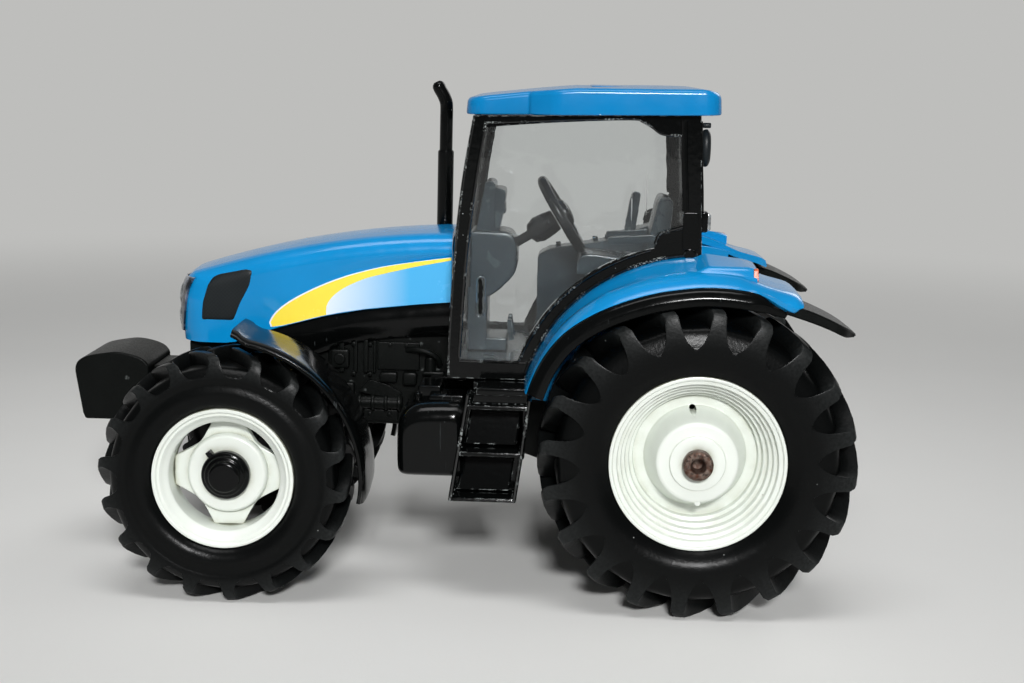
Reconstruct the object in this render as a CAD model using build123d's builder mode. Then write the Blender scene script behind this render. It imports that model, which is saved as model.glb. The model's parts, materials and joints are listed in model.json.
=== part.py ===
from build123d import *

import os
from math import cos, radians, sin

# A die-cast toy farm tractor at about one thirty-second scale, in millimetres.
# +X forward, +Y to the tractor's left, +Z up; the origin is on the ground under
# the middle of the overall length. Side-view outlines are (x, z) pairs with x
# counted forward from the rear axle.

os.makedirs("parts", exist_ok=True)

# ---------------------------------------------------------------- wheels
wheelbase = 80.6
weight_overhang = 32.5  # weight ahead of the front axle

rear_tyre_radius = 27.15
rear_tyre_width = 17.0
rear_half_track = 27.0
rear_rim_radius = 15.03
rear_seat_radius = 14.0
rear_rim_face = 7.0  # rim edge, outboard of the wheel's middle plane
rear_rim_width = 14.2
rear_hub_radius = 4.76

front_tyre_radius = 21.85
front_tyre_width = 13.6
front_half_track = 27.2
front_rim_radius = 12.23
front_seat_radius = 11.3
front_rim_face = 5.8
front_rim_width = 11.4
front_barrel_radius = 9.6
front_boss_radius = 7.0
front_disc_face = 5.4  # how far the disc lies behind the rim edge
front_disc_thickness = 1.7
front_boss_face = 3.9
hub_cap_radius = 4.2
hub_cap_face = 1.2
hub_cap_button_radius = 2.3
hub_cap_button_height = 1.0

flange_thickness = 1.1
bead_gap = 0.05
running_clearance = 0.05
end_play = 0.3

axle_radius = 1.6
rivet_radius = 2.58
rivet_height = 2.0
rivet_hole_radius = 0.85
rivet_hole_depth = 0.9

# ---------------------------------------------------------------- chassis
engine_half_width = 9.0
engine_lift = 1.0  # engine's underside above the front frame's
gearbox_half_width = 8.5
gearbox_rear_x = -11.0
axle_tube_radius = 5.4
front_frame_half_width = 8.0
frame_lift = 1.55  # front frame above the axle beam
beam_half_height = 2.6
beam_half_depth = 2.5

# ---------------------------------------------------------------- steering
kingpin_y = 16.5
kingpin_radius = 1.2
kingpin_boss_radius = 2.6
yoke_thickness = 1.6
yoke_half_depth = 2.8
track_arm = 7.0
track_pin_radius = 0.9
track_pin_gap = 0.07
tie_rod_thickness = 1.2
tie_rod_half_depth = 1.8
steer_slot_travel = 0.36  # the track pins' fore-and-aft shift at full lock

# ---------------------------------------------------------------- cab
cab_half_width = 22.0
cab_wall = 1.2
cab_sill = 38.5
cab_top_front = 83.95
cab_top_rear = 84.85
cab_front = 43.2
cab_front_mid_x, cab_front_mid_z = 42.3, 61.0
cab_front_top_x = 39.6
cab_rear_x, cab_rear_z = -0.2, 60.0
cab_rear_top_x = 0.9
pillar_front = 2.0
pillar_rear = 3.0
sill_height = 3.0
header_front = 1.9  # header over the doors, deeper at the front
header_rear = 0.7
upper_gusset_x, upper_gusset_drop = 8.6, 3.3
lower_gusset_x, lower_gusset_top = 8.0, 65.8
arch_band = 2.2
windscreen_bottom = 46.0
windscreen_top = 81.9
windscreen_inset = 2.4  # window edge in from the cab's side
rear_window_bottom = 63.4
rear_window_top = 82.6
rear_window_inset = 3.6
pane_gap = 0.04
seat_gap = 0.06

roof_front_top = 86.9
roof_brow_x, roof_brow_top = 29.6, 88.3
roof_flat_front_x, roof_flat_rear_x = 16.8, 2.0
roof_top = 89.3
roof_rear_top = 88.4
roof_edge = 0.9
roof_front_x = 41.0
roof_rear_x = -2.6
roof_overhang = 1.6  # roof beyond the cab's sides
roof_brow_inset = 1.4  # its narrow front part inside them
roof_jog_front_x = 29.4
roof_jog_rear_x = 25.6
roof_corner = 3.0

floor_thickness = 2.0

# ---------------------------------------------------------------- bonnet
bonnet_half_width = 11.0
bonnet_wall = 1.4
bonnet_rear_z = 62.9
bonnet_mid_z = 60.5
bonnet_nose_z = 54.4
bonnet_bottom = 41.5
bonnet_side_rear = 50.3
nose_reach = 13.3  # nose ahead of the front axle
grille_top, grille_bottom = 53.7, 43.3
grille_top_reach, grille_bottom_reach = 2.3, 0.9  # side edge behind the nose
grille_inset = 0.3
skirt_thickness = 1.2
skirt_bottom = 43.0
bonnet_shoulder = 3.2
bonnet_nose_corner = 5.5
nose_block = 6.5  # solid length behind the nose

# ---------------------------------------------------------------- fenders
fender_outer_y = 34.0
fender_thickness = 1.4
fender_wall_y = 17.4
fender_wall = 1.2
tube_clearance = 0.45  # fender wall over the axle tube
fender_edge_thickness = 1.0
lip_width = 2.0
lip_outer_y = 35.3
lip_clearance = 0.9  # lip to rear tyre
flap_inner_y = 20.0
# angle about the rear axle; height above the tyre at the cab side and at the outer edge
fender_table = (
    (21.6, 4.70, 3.45),
    (47.2, 6.15, 4.15),
    (79.7, 6.45, 2.80),
    (98.5, 6.65, 3.00),
    (119.2, 7.25, 5.25),
)

front_fender_clearance = 1.6
front_fender_thickness = 1.0
front_fender_inner_y = 20.6
front_fender_outer_y = 33.4
front_fender_start = 92.0
front_fender_end = 190.0
bracket_half_width = 2.0
bracket_thickness = 1.2

# ---------------------------------------------------------------- front weight
weight_half_width = 8.4
weight_bottom = 26.1
weight_top = 38.9
weight_length = 13.9
weight_side_edge = 0.9

# ---------------------------------------------------------------- worked out
rear_x = (rear_tyre_radius - wheelbase - weight_overhang) / 2
rear_axle_z = rear_tyre_radius
front_axle_z = front_tyre_radius
beam_top = front_axle_z + beam_half_height
front_frame_bottom = beam_top + frame_lift
engine_bottom = front_frame_bottom + engine_lift
front_x = rear_x + wheelbase
rear_rim_y = rear_half_track + rear_rim_face
front_rim_y = front_half_track + front_rim_face
nose_x = wheelbase + nose_reach


def side_plane(y):
    """A side-view plane at y: local x runs forward from the rear axle, local y up."""
    return Plane(origin=(rear_x, y, 0), x_dir=(1, 0, 0), z_dir=(0, -1, 0))


def wheel_plane(x, z):
    """A plane through a wheel's axis: local x is the radius, local y is outboard."""
    return Plane(origin=(x, 0, z), x_dir=(1, 0, 0), z_dir=(0, 0, 1))


def turn_outline(points, x, z):
    """Inside a part: turn a closed (radius, y) outline about the wheel's axis."""
    with BuildSketch(wheel_plane(x, z)) as outline:
        with BuildLine():
            Polyline(*points, close=True)
        make_face()
    revolve(outline.sketch, axis=Axis((x, 0, z), (0, 1, 0)))


def side_slab(points, low, high, mode=Mode.ADD):
    """Inside a part: a closed side-view outline run across from y=low to y=high."""
    with BuildSketch(side_plane(high)) as outline:
        with BuildLine():
            Polyline(*points, close=True)
        make_face()
    extrude(outline.sketch, amount=high - low, mode=mode)


def block(x_low, x_high, y_low, y_high, z_low, z_high, mode=Mode.ADD):
    """Inside a part: an upright block, x counted forward from the rear axle."""
    corners = ((x_low, z_low), (x_high, z_low), (x_high, z_high), (x_low, z_high))
    side_slab(corners, y_low, y_high, mode)


def cross_rod(x, z, radius, low, high, mode=Mode.ADD):
    """Inside a part: a round rod across the tractor."""
    with BuildSketch(side_plane(high)) as section:
        with Locations((x, z)):
            Circle(radius)
    extrude(section.sketch, amount=high - low, mode=mode)


def upright_rod(x, y, radius, low, high, mode=Mode.ADD):
    """Inside a part: a round upright rod, x in the part's own frame."""
    with BuildSketch(Plane.XY.offset(low)) as section:
        with Locations((x, y)):
            Circle(radius)
    extrude(section.sketch, amount=high - low, mode=mode)


def write(part, name):
    part.label = name
    export_step(part, f"parts/{name}.step")


def write_pair(left_part, name):
    """Write a left-hand piece and its mirror image."""
    write(left_part, f"{name}_left")
    write(mirror(left_part, about=Plane.XZ), f"{name}_right")


def around(axle_x, axle_z, radius, angle):
    """A side-view point at an angle about an axle, counted up from straight ahead."""
    return (axle_x + radius * cos(radians(angle)), axle_z + radius * sin(radians(angle)))


# ================================================================ wheels
# Rear rim: five terraces step down from the edge to the disc, which rises as a
# cone to a plateau and a hub boss. Columns: radius, depth behind the rim edge.
rear_bore = axle_radius + running_clearance
rear_rim_face_table = (
    (rear_rim_radius, 0.0),
    (14.3, 0.0),
    (14.3, 0.8),
    (13.3, 0.8),
    (13.3, 2.2),
    (12.5, 2.2),
    (12.5, 3.6),
    (11.7, 3.6),
    (11.7, 5.0),
    (10.9, 5.0),
    (10.4, 6.5),
    (8.95, 6.5),
    (6.95, 2.6),
    (rear_hub_radius, 2.6),
    (rear_hub_radius, 0.8),
    (rear_bore, 0.8),
)
rear_hub_back = 9.5
rear_disc_back = 8.0
rear_barrel_radius = 12.0
rear_rim_back_table = (
    (rear_bore, rear_hub_back),
    (rear_hub_radius, rear_hub_back),
    (rear_hub_radius, rear_disc_back),
    (rear_barrel_radius, rear_disc_back),
    (rear_barrel_radius, rear_rim_width),
    (rear_seat_radius, rear_rim_width),
    (rear_seat_radius, flange_thickness),
    (rear_rim_radius, flange_thickness),
)
valve_hole_radius = 0.55
valve_hole_reach = 7.9

with BuildPart() as rear_rim:
    outline = [(r, rear_rim_y - d) for r, d in rear_rim_face_table + rear_rim_back_table]
    turn_outline(outline, rear_x, rear_axle_z)
    cross_rod(
        0, rear_axle_z + valve_hole_reach, valve_hole_radius,
        rear_rim_y - rear_hub_back, rear_rim_y, Mode.SUBTRACT,
    )
write_pair(rear_rim.part, "rear_rim")


def tyre_outline(middle, half_width, radius, rim_radius, seat, rim_y, rim_width):
    """The (radius, y) outline of a tyre seated on its rim, left-hand side."""
    bead_out = rim_y - flange_thickness - bead_gap
    bead_in = rim_y - rim_width
    wall = radius - rim_radius
    return (
        (seat + bead_gap, bead_in),
        (seat + bead_gap, bead_out),
        (rim_radius + bead_gap, bead_out),
        (rim_radius + bead_gap, middle + half_width - 1.7),
        (rim_radius + 0.22 * wall, middle + half_width - 0.5),
        (rim_radius + 0.45 * wall, middle + half_width),
        (rim_radius + 0.72 * wall, middle + half_width - 0.4),
        (rim_radius + 0.92 * wall, middle + half_width - 1.2),
        (radius, middle + half_width - 2.0),
        (radius, middle - half_width + 2.0),
        (rim_radius + 0.92 * wall, middle - half_width + 1.2),
        (rim_radius + 0.72 * wall, middle - half_width + 0.4),
        (rim_radius + 0.45 * wall, middle - half_width),
        (rim_radius + 0.22 * wall, middle - half_width + 0.5),
    )


with BuildPart() as rear_tyre:
    turn_outline(
        tyre_outline(
            rear_half_track, rear_tyre_width / 2, rear_tyre_radius,
            rear_rim_radius, rear_seat_radius, rear_rim_y, rear_rim_width,
        ),
        rear_x, rear_axle_z,
    )
write_pair(rear_tyre.part, "rear_tyre")

with BuildPart() as front_tyre:
    turn_outline(
        tyre_outline(
            front_half_track, front_tyre_width / 2, front_tyre_radius,
            front_rim_radius, front_seat_radius, front_rim_y, front_rim_width,
        ),
        front_x, front_axle_z,
    )
write_pair(front_tyre.part, "front_tyre")

# Front rim: two steps inside the edge, then a disc with four openings between
# four lobes, and a round raised boss. Columns: radius, depth behind the edge.
stub_bore = axle_radius + running_clearance
front_disc_back = front_disc_face + front_disc_thickness
front_boss_back = 8.2
front_rim_table = (
    (front_rim_radius, 0.0),
    (10.95, 0.3),
    (10.44, 1.1),
    (front_barrel_radius, 1.75),
    (front_barrel_radius, front_disc_face),
    (front_boss_radius, front_disc_face),
    (front_boss_radius - 0.3, front_boss_face),
    (stub_bore, front_boss_face),
    (stub_bore, front_boss_back),
    (front_boss_radius - 2.0, front_boss_back),
    (front_boss_radius - 2.0, front_disc_back),
    (front_barrel_radius, front_disc_back),
    (front_barrel_radius, front_rim_width),
    (front_seat_radius, front_rim_width),
    (front_seat_radius, flange_thickness),
    (front_rim_radius, flange_thickness),
)
lobe_half_angle = 15.3

with BuildPart() as front_rim:
    outline = [(r, front_rim_y - d) for r, d in front_rim_table]
    turn_outline(outline, front_x, front_axle_z)
    with BuildSketch(side_plane(front_rim_y)):
        for quarter in range(4):
            turn = 90 * quarter
            first = around(wheelbase, front_axle_z, front_barrel_radius, turn + lobe_half_angle)
            last = around(wheelbase, front_axle_z, front_barrel_radius, turn + 90 - lobe_half_angle)
            outer = around(wheelbase, front_axle_z, front_barrel_radius, turn + 45)
            inner = around(wheelbase, front_axle_z, front_boss_radius + 0.15, turn + 45)
            with BuildLine():
                ThreePointArc(first, outer, last)
                ThreePointArc(last, inner, first)
            make_face()
    extrude(amount=front_disc_back + 0.5, mode=Mode.SUBTRACT)
write_pair(front_rim.part, "front_rim")

# Hub cap: a blind socket over the stub axle's end, a raised button in front.
stub_end_depth = hub_cap_face + 1.0
with BuildPart() as front_hub_cap:
    cross_rod(
        wheelbase, front_axle_z, hub_cap_radius,
        front_rim_y - front_boss_face + bead_gap, front_rim_y - hub_cap_face,
    )
    cross_rod(
        wheelbase, front_axle_z, hub_cap_button_radius,
        front_rim_y - hub_cap_face, front_rim_y - hub_cap_face + hub_cap_button_height,
    )
    cross_rod(
        wheelbase, front_axle_z, stub_bore,
        front_rim_y - front_boss_face, front_rim_y - stub_end_depth + end_play, Mode.SUBTRACT,
    )
write_pair(front_hub_cap.part, "front_hub_cap")

# Rear axle: one steel pin right through, its ends riveted over outside the hubs.
rivet_seat = rear_rim_y - 0.8 + end_play / 2
with BuildPart() as rear_axle:
    cross_rod(0, rear_axle_z, axle_radius, -rivet_seat, rivet_seat)
    for side in (1, -1):
        low, high = sorted((side * rivet_seat, side * (rivet_seat + rivet_height)))
        cross_rod(0, rear_axle_z, rivet_radius, low, high)
        hole_end = side * (rivet_seat + rivet_height - rivet_hole_depth)
        low, high = sorted((hole_end, side * (rivet_seat + rivet_height)))
        cross_rod(0, rear_axle_z, rivet_hole_radius, low, high, Mode.SUBTRACT)
write(rear_axle.part, "rear_axle")

# ================================================================ chassis
with BuildPart() as engine_casting:
    side_slab(
        (
            (cab_front + 0.7, engine_bottom + 2),
            (cab_front + 4.0, engine_bottom),
            (wheelbase - 16, engine_bottom),
            (wheelbase - 14.7, engine_bottom + 2),
            (wheelbase - 14.7, bonnet_bottom + 3.0),
            (cab_front + 0.7, bonnet_side_rear + 4.0),
        ),
        -engine_half_width, engine_half_width,
    )
write(engine_casting.part, "engine_casting")

gearbox_top = cab_sill - 0.1
axle_tube_end = rear_rim_y - rear_hub_back - end_play
with BuildPart() as gearbox_casting:
    side_slab(
        (
            (cab_front + 0.6, engine_bottom + 1),
            (cab_front + 0.6, gearbox_top),
            (gearbox_rear_x, gearbox_top),
            (gearbox_rear_x, rear_axle_z - 6),
            (-4.0, rear_axle_z - 10.5),
            (14.0, rear_axle_z - 10.5),
            (30.0, rear_axle_z - 5.0),
        ),
        -gearbox_half_width, gearbox_half_width,
    )
    cross_rod(0, rear_axle_z, axle_tube_radius, -axle_tube_end, axle_tube_end)
    cross_rod(0, rear_axle_z, axle_radius + running_clearance, -axle_tube_end, axle_tube_end, Mode.SUBTRACT)
write(gearbox_casting.part, "gearbox_casting")

frame_front = nose_x - 2.2
with BuildPart() as front_frame:
    side_slab(
        (
            (wheelbase - 14.6, engine_bottom + 2),
            (wheelbase - 8, front_frame_bottom),
            (wheelbase + 8, front_frame_bottom),
            (frame_front, front_frame_bottom + 4),
            (frame_front, bonnet_bottom - 0.1),
            (wheelbase - 14.6, bonnet_bottom - 0.1),
        ),
        -front_frame_half_width, front_frame_half_width,
    )
write(front_frame.part, "front_frame")

# Front axle beam: hangs under the frame on a pivot boss, an upright bore at each end.
with BuildPart() as front_axle_beam:
    block(
        wheelbase - beam_half_depth, wheelbase + beam_half_depth,
        -kingpin_y, kingpin_y, front_axle_z - beam_half_height, beam_top,
    )
    block(
        wheelbase - beam_half_depth, wheelbase + beam_half_depth,
        -5, 5, beam_top, front_frame_bottom - seat_gap,
    )
    for side in (1, -1):
        upright_rod(
            front_x, side * kingpin_y, kingpin_boss_radius,
            front_axle_z - beam_half_height, beam_top,
        )
        upright_rod(
            front_x, side * kingpin_y, kingpin_radius + running_clearance,
            front_axle_z - beam_half_height, beam_top, Mode.SUBTRACT,
        )
write(front_axle_beam.part, "front_axle_beam")

# Knuckle: a yoke round the beam's end with the kingpin, the stub axle outboard
# and a track arm behind.
yoke_top_low = beam_top + end_play
yoke_bottom_high = front_axle_z - beam_half_height - end_play
yoke_top = yoke_top_low + yoke_thickness
yoke_bottom = yoke_bottom_high - yoke_thickness
yoke_web_y = kingpin_y + kingpin_boss_radius + 0.4
stub_end = front_rim_y - stub_end_depth
yoke_web_thickness = 1.2
with BuildPart() as knuckle:
    block(
        wheelbase - yoke_half_depth, wheelbase + yoke_half_depth,
        yoke_web_y, yoke_web_y + yoke_web_thickness, yoke_bottom, yoke_top,
    )
    for low, high in ((yoke_bottom, yoke_bottom_high), (yoke_top_low, yoke_top)):
        block(
            wheelbase - yoke_half_depth, wheelbase + yoke_half_depth,
            kingpin_y, yoke_web_y, low, high,
        )
        upright_rod(front_x, kingpin_y, yoke_half_depth, low, high)
    upright_rod(front_x, kingpin_y, kingpin_radius, yoke_bottom, yoke_top)
    cross_rod(wheelbase, front_axle_z, axle_radius, yoke_web_y, stub_end)
    block(
        wheelbase - track_arm, wheelbase,
        kingpin_y - track_pin_radius - 0.7, kingpin_y + track_pin_radius + 0.7,
        yoke_bottom, yoke_bottom_high,
    )
    upright_rod(
        front_x - track_arm, kingpin_y, track_pin_radius + 0.7, yoke_bottom, yoke_bottom_high,
    )
    upright_rod(
        front_x - track_arm, kingpin_y, track_pin_radius,
        yoke_bottom - tie_rod_thickness - 0.6, yoke_bottom,
    )
write_pair(knuckle.part, "steering_knuckle")

# Tie rod: a flat bar under the track arms, with an eye slotted fore and aft at each end.
tie_rod_top = yoke_bottom - 0.2
with BuildPart() as tie_rod:
    with BuildSketch(Plane.XY.offset(tie_rod_top - tie_rod_thickness)):
        with Locations((front_x - track_arm + steer_slot_travel / 2, 0)):
            SlotOverall(2 * (kingpin_y + tie_rod_half_depth + 0.6), 2 * (tie_rod_half_depth + 0.3), 90)
        for side in (1, -1):
            with Locations((front_x - track_arm + steer_slot_travel / 2, side * kingpin_y)):
                SlotCenterToCenter(
                    steer_slot_travel + 0.1, 2 * (track_pin_radius + track_pin_gap),
                    mode=Mode.SUBTRACT,
                )
    extrude(amount=tie_rod_thickness)
write(tie_rod.part, "tie_rod")

# Front fender: a curved guard over the wheel's rear half on a strap from the knuckle.
guard_low = front_tyre_radius + front_fender_clearance
guard_high = guard_low + front_fender_thickness
guard_tip_lift = 2.2
with BuildPart() as front_fender:
    with BuildSketch(side_plane(front_fender_outer_y)):
        with BuildLine():
            middle_angle = (front_fender_start + front_fender_end) / 2
            ThreePointArc(
                around(wheelbase, front_axle_z, guard_low, front_fender_start),
                around(wheelbase, front_axle_z, guard_low, middle_angle),
                around(wheelbase, front_axle_z, guard_low, front_fender_end),
            )
            Line(
                around(wheelbase, front_axle_z, guard_low, front_fender_end),
                around(wheelbase, front_axle_z, guard_high, front_fender_end),
            )
            ThreePointArc(
                around(wheelbase, front_axle_z, guard_high, front_fender_end),
                around(wheelbase, front_axle_z, guard_high, middle_angle),
                around(wheelbase, front_axle_z, guard_high, front_fender_start),
            )
            Line(
                around(wheelbase, front_axle_z, guard_high, front_fender_start),
                around(wheelbase, front_axle_z, guard_low, front_fender_start),
            )
        make_face()
    extrude(amount=front_fender_outer_y - front_fender_inner_y)
    side_slab(
        (
            around(wheelbase, front_axle_z, guard_low + 0.2, front_fender_start + 6),
            around(wheelbase, front_axle_z, guard_high, front_fender_start + 6),
            around(wheelbase, front_axle_z, guard_high + guard_tip_lift, front_fender_start),
            around(wheelbase, front_axle_z, guard_high + guard_tip_lift - 0.8, front_fender_start),
            around(wheelbase, front_axle_z, guard_low, front_fender_start),
        ),
        front_fender_inner_y, front_fender_outer_y,
    )
    strap_x = wheelbase - 4.0
    strap_out = front_fender_inner_y - 0.6
    block(
        strap_x - bracket_half_width, strap_x + bracket_half_width,
        strap_out - bracket_thickness, strap_out,
        yoke_top + seat_gap, front_axle_z + guard_low + 0.5,
    )
    block(
        strap_x - bracket_half_width, strap_x + bracket_half_width,
        strap_out - bracket_thickness, front_fender_inner_y + 1.0,
        front_axle_z + guard_low - 0.3, front_axle_z + guard_low + 0.5,
    )
    block(
        strap_x - bracket_half_width, wheelbase + yoke_half_depth - 0.5,
        kingpin_y - 1.6, strap_out, yoke_top + seat_gap, yoke_top + seat_gap + 1.2,
    )
write_pair(front_fender.part, "front_fender")

# ================================================================ front weight
weight_front_x = wheelbase + weight_overhang
weight_rear_x = weight_front_x - weight_length
with BuildPart() as front_weight:
    with BuildSketch(side_plane(weight_half_width)):
        with BuildLine():
            nose_top = (weight_front_x, weight_top - 2.4)
            rear_top = (weight_rear_x, weight_top - 2.3)
            Polyline(
                nose_top,
                (weight_front_x, weight_top - 4.0),
                (weight_front_x - 1.7, weight_bottom),
                (weight_rear_x + 2.4, weight_bottom),
                (weight_rear_x, weight_bottom + 2.4),
                rear_top,
            )
            ThreePointArc(rear_top, (weight_front_x - 7.6, weight_top), nose_top)
        make_face()
    extrude(amount=2 * weight_half_width)
    sides = front_weight.faces().filter_by(Axis.Y)
    fillet(sides.edges(), weight_side_edge)
write(front_weight.part, "front_weight")

with BuildPart() as weight_bracket:
    block(
        frame_front + seat_gap, weight_rear_x - seat_gap,
        -5.5, 5.5, front_frame_bottom + 4, front_frame_bottom + 10,
    )
write(weight_bracket.part, "weight_bracket")

# ================================================================ bonnet
side_break = (wheelbase + 2.0, bonnet_bottom + 0.2)
side_slope = (wheelbase - 4.0, bonnet_bottom + 2.5)
bonnet_rear_x = cab_front + 0.4
bonnet_height = bonnet_rear_z


def bonnet_face(inset, drop):
    """The bonnet's side view, pulled in by inset at the top and nose."""
    with BuildLine() as edge:
        ThreePointArc(
            (bonnet_rear_x, bonnet_rear_z - inset),
            ((bonnet_rear_x + nose_x) / 2 - 1.5, bonnet_mid_z - inset),
            (nose_x - 2.6 - inset, bonnet_nose_z - inset),
        )
        Polyline(
            (nose_x - 2.6 - inset, bonnet_nose_z - inset),
            (nose_x - 0.5 - inset, bonnet_nose_z - 2.4 - inset),
            (nose_x - inset, bonnet_nose_z - 9.0),
            (nose_x - 0.5 - inset, bonnet_bottom - drop),
            (side_break[0], side_break[1] - drop),
            (side_slope[0], side_slope[1] - drop),
            (bonnet_rear_x, bonnet_side_rear - drop),
            (bonnet_rear_x, bonnet_rear_z - inset),
        )
    make_face(edge.edges())


def nose_plan(inset):
    """Seen from above: the bonnet's width with its two rounded front corners."""
    half = bonnet_half_width - inset
    front = rear_x + nose_x - inset
    back = rear_x + bonnet_rear_x
    corner = bonnet_nose_corner - inset
    bulge = corner * sin(radians(45))
    middle = (front - corner, half - corner)
    with BuildLine() as edge:
        Polyline((middle[0], half), (back, half), (back, -half), (middle[0], -half))
        ThreePointArc(
            (middle[0], -half), (middle[0] + bulge, -middle[1] - bulge), (front, -middle[1])
        )
        Line((front, -middle[1]), (front, middle[1]))
        ThreePointArc(
            (front, middle[1]), (middle[0] + bulge, middle[1] + bulge), (middle[0], half)
        )
    make_face(edge.edges())


def grille_side(gap):
    """Side view of the grille, its side edges slanting, smaller by gap all round."""
    return (
        (nose_x - grille_top_reach + gap, grille_top - gap),
        (nose_x + 1, grille_top - gap),
        (nose_x + 1, grille_bottom + gap),
        (nose_x - grille_bottom_reach + gap, grille_bottom + gap),
    )


with BuildPart() as bonnet:
    with BuildSketch(side_plane(bonnet_half_width)):
        bonnet_face(0, 0)
    extrude(amount=2 * bonnet_half_width)
    fillet(
        bonnet.edges().filter_by(GeomType.CIRCLE).group_by(Axis.Y)[0]
        + bonnet.edges().filter_by(GeomType.CIRCLE).group_by(Axis.Y)[-1],
        bonnet_shoulder,
    )
    with BuildSketch(Plane.XY):
        nose_plan(0)
    extrude(amount=cab_top_rear, mode=Mode.INTERSECT)
    with BuildSketch(side_plane(bonnet_half_width - bonnet_wall)):
        bonnet_face(bonnet_wall, bonnet_wall * 2)
        with Locations((nose_x - nose_block - bonnet_height, 0)):
            Rectangle(2 * bonnet_height, 4 * bonnet_height, mode=Mode.INTERSECT)
    extrude(amount=2 * (bonnet_half_width - bonnet_wall), mode=Mode.SUBTRACT)
    side_slab(grille_side(0), -bonnet_half_width, bonnet_half_width, Mode.SUBTRACT)
write(bonnet.part, "bonnet")

with BuildPart() as grille:
    with BuildSketch(Plane.XY):
        nose_plan(grille_inset)
    extrude(amount=cab_top_rear)
    with BuildSketch(side_plane(bonnet_half_width)):
        with BuildLine():
            Polyline(*grille_side(seat_gap), close=True)
        make_face()
    extrude(amount=2 * bonnet_half_width, mode=Mode.INTERSECT)
write(grille.part, "grille")

with BuildPart() as bonnet_skirt:
    side_slab(
        (
            (bonnet_rear_x, bonnet_side_rear - seat_gap),
            (side_slope[0], side_slope[1] - seat_gap),
            (side_break[0] - 1.0, bonnet_bottom - seat_gap),
            (side_break[0] - 9.0, bonnet_bottom - 3.0),
            (side_break[0] - 15.0, bonnet_bottom - 1.0),
            (side_break[0] - 21.0, skirt_bottom),
            (bonnet_rear_x, skirt_bottom),
        ),
        bonnet_half_width - skirt_thickness, bonnet_half_width,
    )
write_pair(bonnet_skirt.part, "bonnet_skirt")

# ================================================================ tanks and steps
step_rear_x = rear_tyre_radius + 1.35
step_front_x = step_rear_x + 10.9
step_lean = 2.6  # the ladder's foot stands this far ahead of its head
step_bottom = 18.3
step_head = 35.6
step_inner_y = 20.8
step_outer_y = 30.0
step_plate = 0.9
step_riser_y = 28.0
tread_thickness = 1.0
step_treads = (step_bottom, 26.4, 34.6)


def step_x(base, z):
    """Where a leaning side of the ladder stands at height z."""
    return base + step_lean * (step_head - z) / (step_head - step_bottom)


with BuildPart() as step:
    side_slab(
        (
            (step_x(step_rear_x, step_bottom), step_bottom),
            (step_x(step_front_x, step_bottom), step_bottom),
            (step_x(step_front_x, step_head), step_head),
            (step_x(step_rear_x, step_head), step_head),
        ),
        step_inner_y, step_outer_y,
    )
    for low, high in zip(step_treads, step_treads[1:]):
        tread_top = low + tread_thickness
        side_slab(
            (
                (step_x(step_rear_x, tread_top) + step_plate, tread_top),
                (step_x(step_front_x, tread_top) - step_plate, tread_top),
                (step_x(step_front_x, high) - step_plate, high),
                (step_x(step_rear_x, high) + step_plate, high),
            ),
            step_inner_y + step_plate, step_outer_y, Mode.SUBTRACT,
        )
    block(
        step_rear_x + step_plate, min(step_front_x - step_plate, cab_front),
        gearbox_half_width + seat_gap, step_riser_y, step_head, cab_sill - seat_gap,
    )
write_pair(step.part, "step")

tank_front_x = wheelbase - front_tyre_radius - 6.95
tank_bottom = 21.2
tank_top = 36.8
tank_outer_y = 26.0
tank_gap = 0.15
tank_corner = 4.0
tank_edge = 1.5
with BuildPart() as fuel_tank:
    side_slab(
        (
            (step_x(step_front_x, tank_bottom) + tank_gap, tank_bottom),
            (tank_front_x, tank_bottom),
            (tank_front_x, tank_top),
            (step_x(step_front_x, tank_top) + tank_gap, tank_top),
        ),
        engine_half_width + seat_gap, tank_outer_y,
    )
    fillet(fuel_tank.edges().filter_by(Axis.X).group_by(Axis.Y)[-1], tank_corner)
    fillet(fuel_tank.edges().group_by(Axis.X)[-1], tank_edge)
write_pair(fuel_tank.part, "fuel_tank")

# ================================================================ cab
def arch_face(extra, mode=Mode.ADD):
    """Side view of all that lies inside the rear fender's crown, grown by extra."""
    rise = [
        around(0, rear_axle_z, rear_tyre_radius + inner + extra, angle)
        for angle, inner, outer in fender_table
    ]
    with BuildLine() as edge:
        ThreePointArc(rise[0], rise[1], rise[2])
        ThreePointArc(rise[2], rise[3], rise[4])
        Polyline(rise[4], (rise[4][0], rear_axle_z), (rise[0][0], rear_axle_z), rise[0])
    make_face(edge.edges(), mode=mode)


def cab_top(x):
    """Height of the cab's top at x: it rises a little towards the rear."""
    run = (cab_front_top_x - x) / (cab_front_top_x - cab_rear_top_x)
    return cab_top_front + (cab_top_rear - cab_top_front) * run


def cab_rear(z):
    """Where the cab's leaning rear face stands at height z."""
    lean = (cab_rear_top_x - cab_rear_x) / (cab_top_rear - cab_rear_z)
    return cab_rear_x + lean * (z - cab_rear_z)


def cab_face(front_inset, rear_inset, run_out):
    """The cab's side view, pulled in at front and rear and run out at top and bottom."""
    front_top = cab_front_top_x - front_inset
    rear_top = cab_rear_top_x + rear_inset
    with BuildLine() as edge:
        ThreePointArc(
            (cab_front - front_inset, cab_sill),
            (cab_front_mid_x - front_inset, cab_front_mid_z),
            (front_top, cab_top_front),
        )
        Polyline(
            (front_top, cab_top_front),
            (front_top, cab_top(front_top) + run_out),
            (rear_top, cab_top(rear_top) + run_out),
            (cab_rear_x + rear_inset, cab_rear_z),
            (cab_rear_x + rear_inset, cab_sill - run_out),
            (cab_front - front_inset, cab_sill - run_out),
            (cab_front - front_inset, cab_sill),
        )
    make_face(edge.edges())


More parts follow.
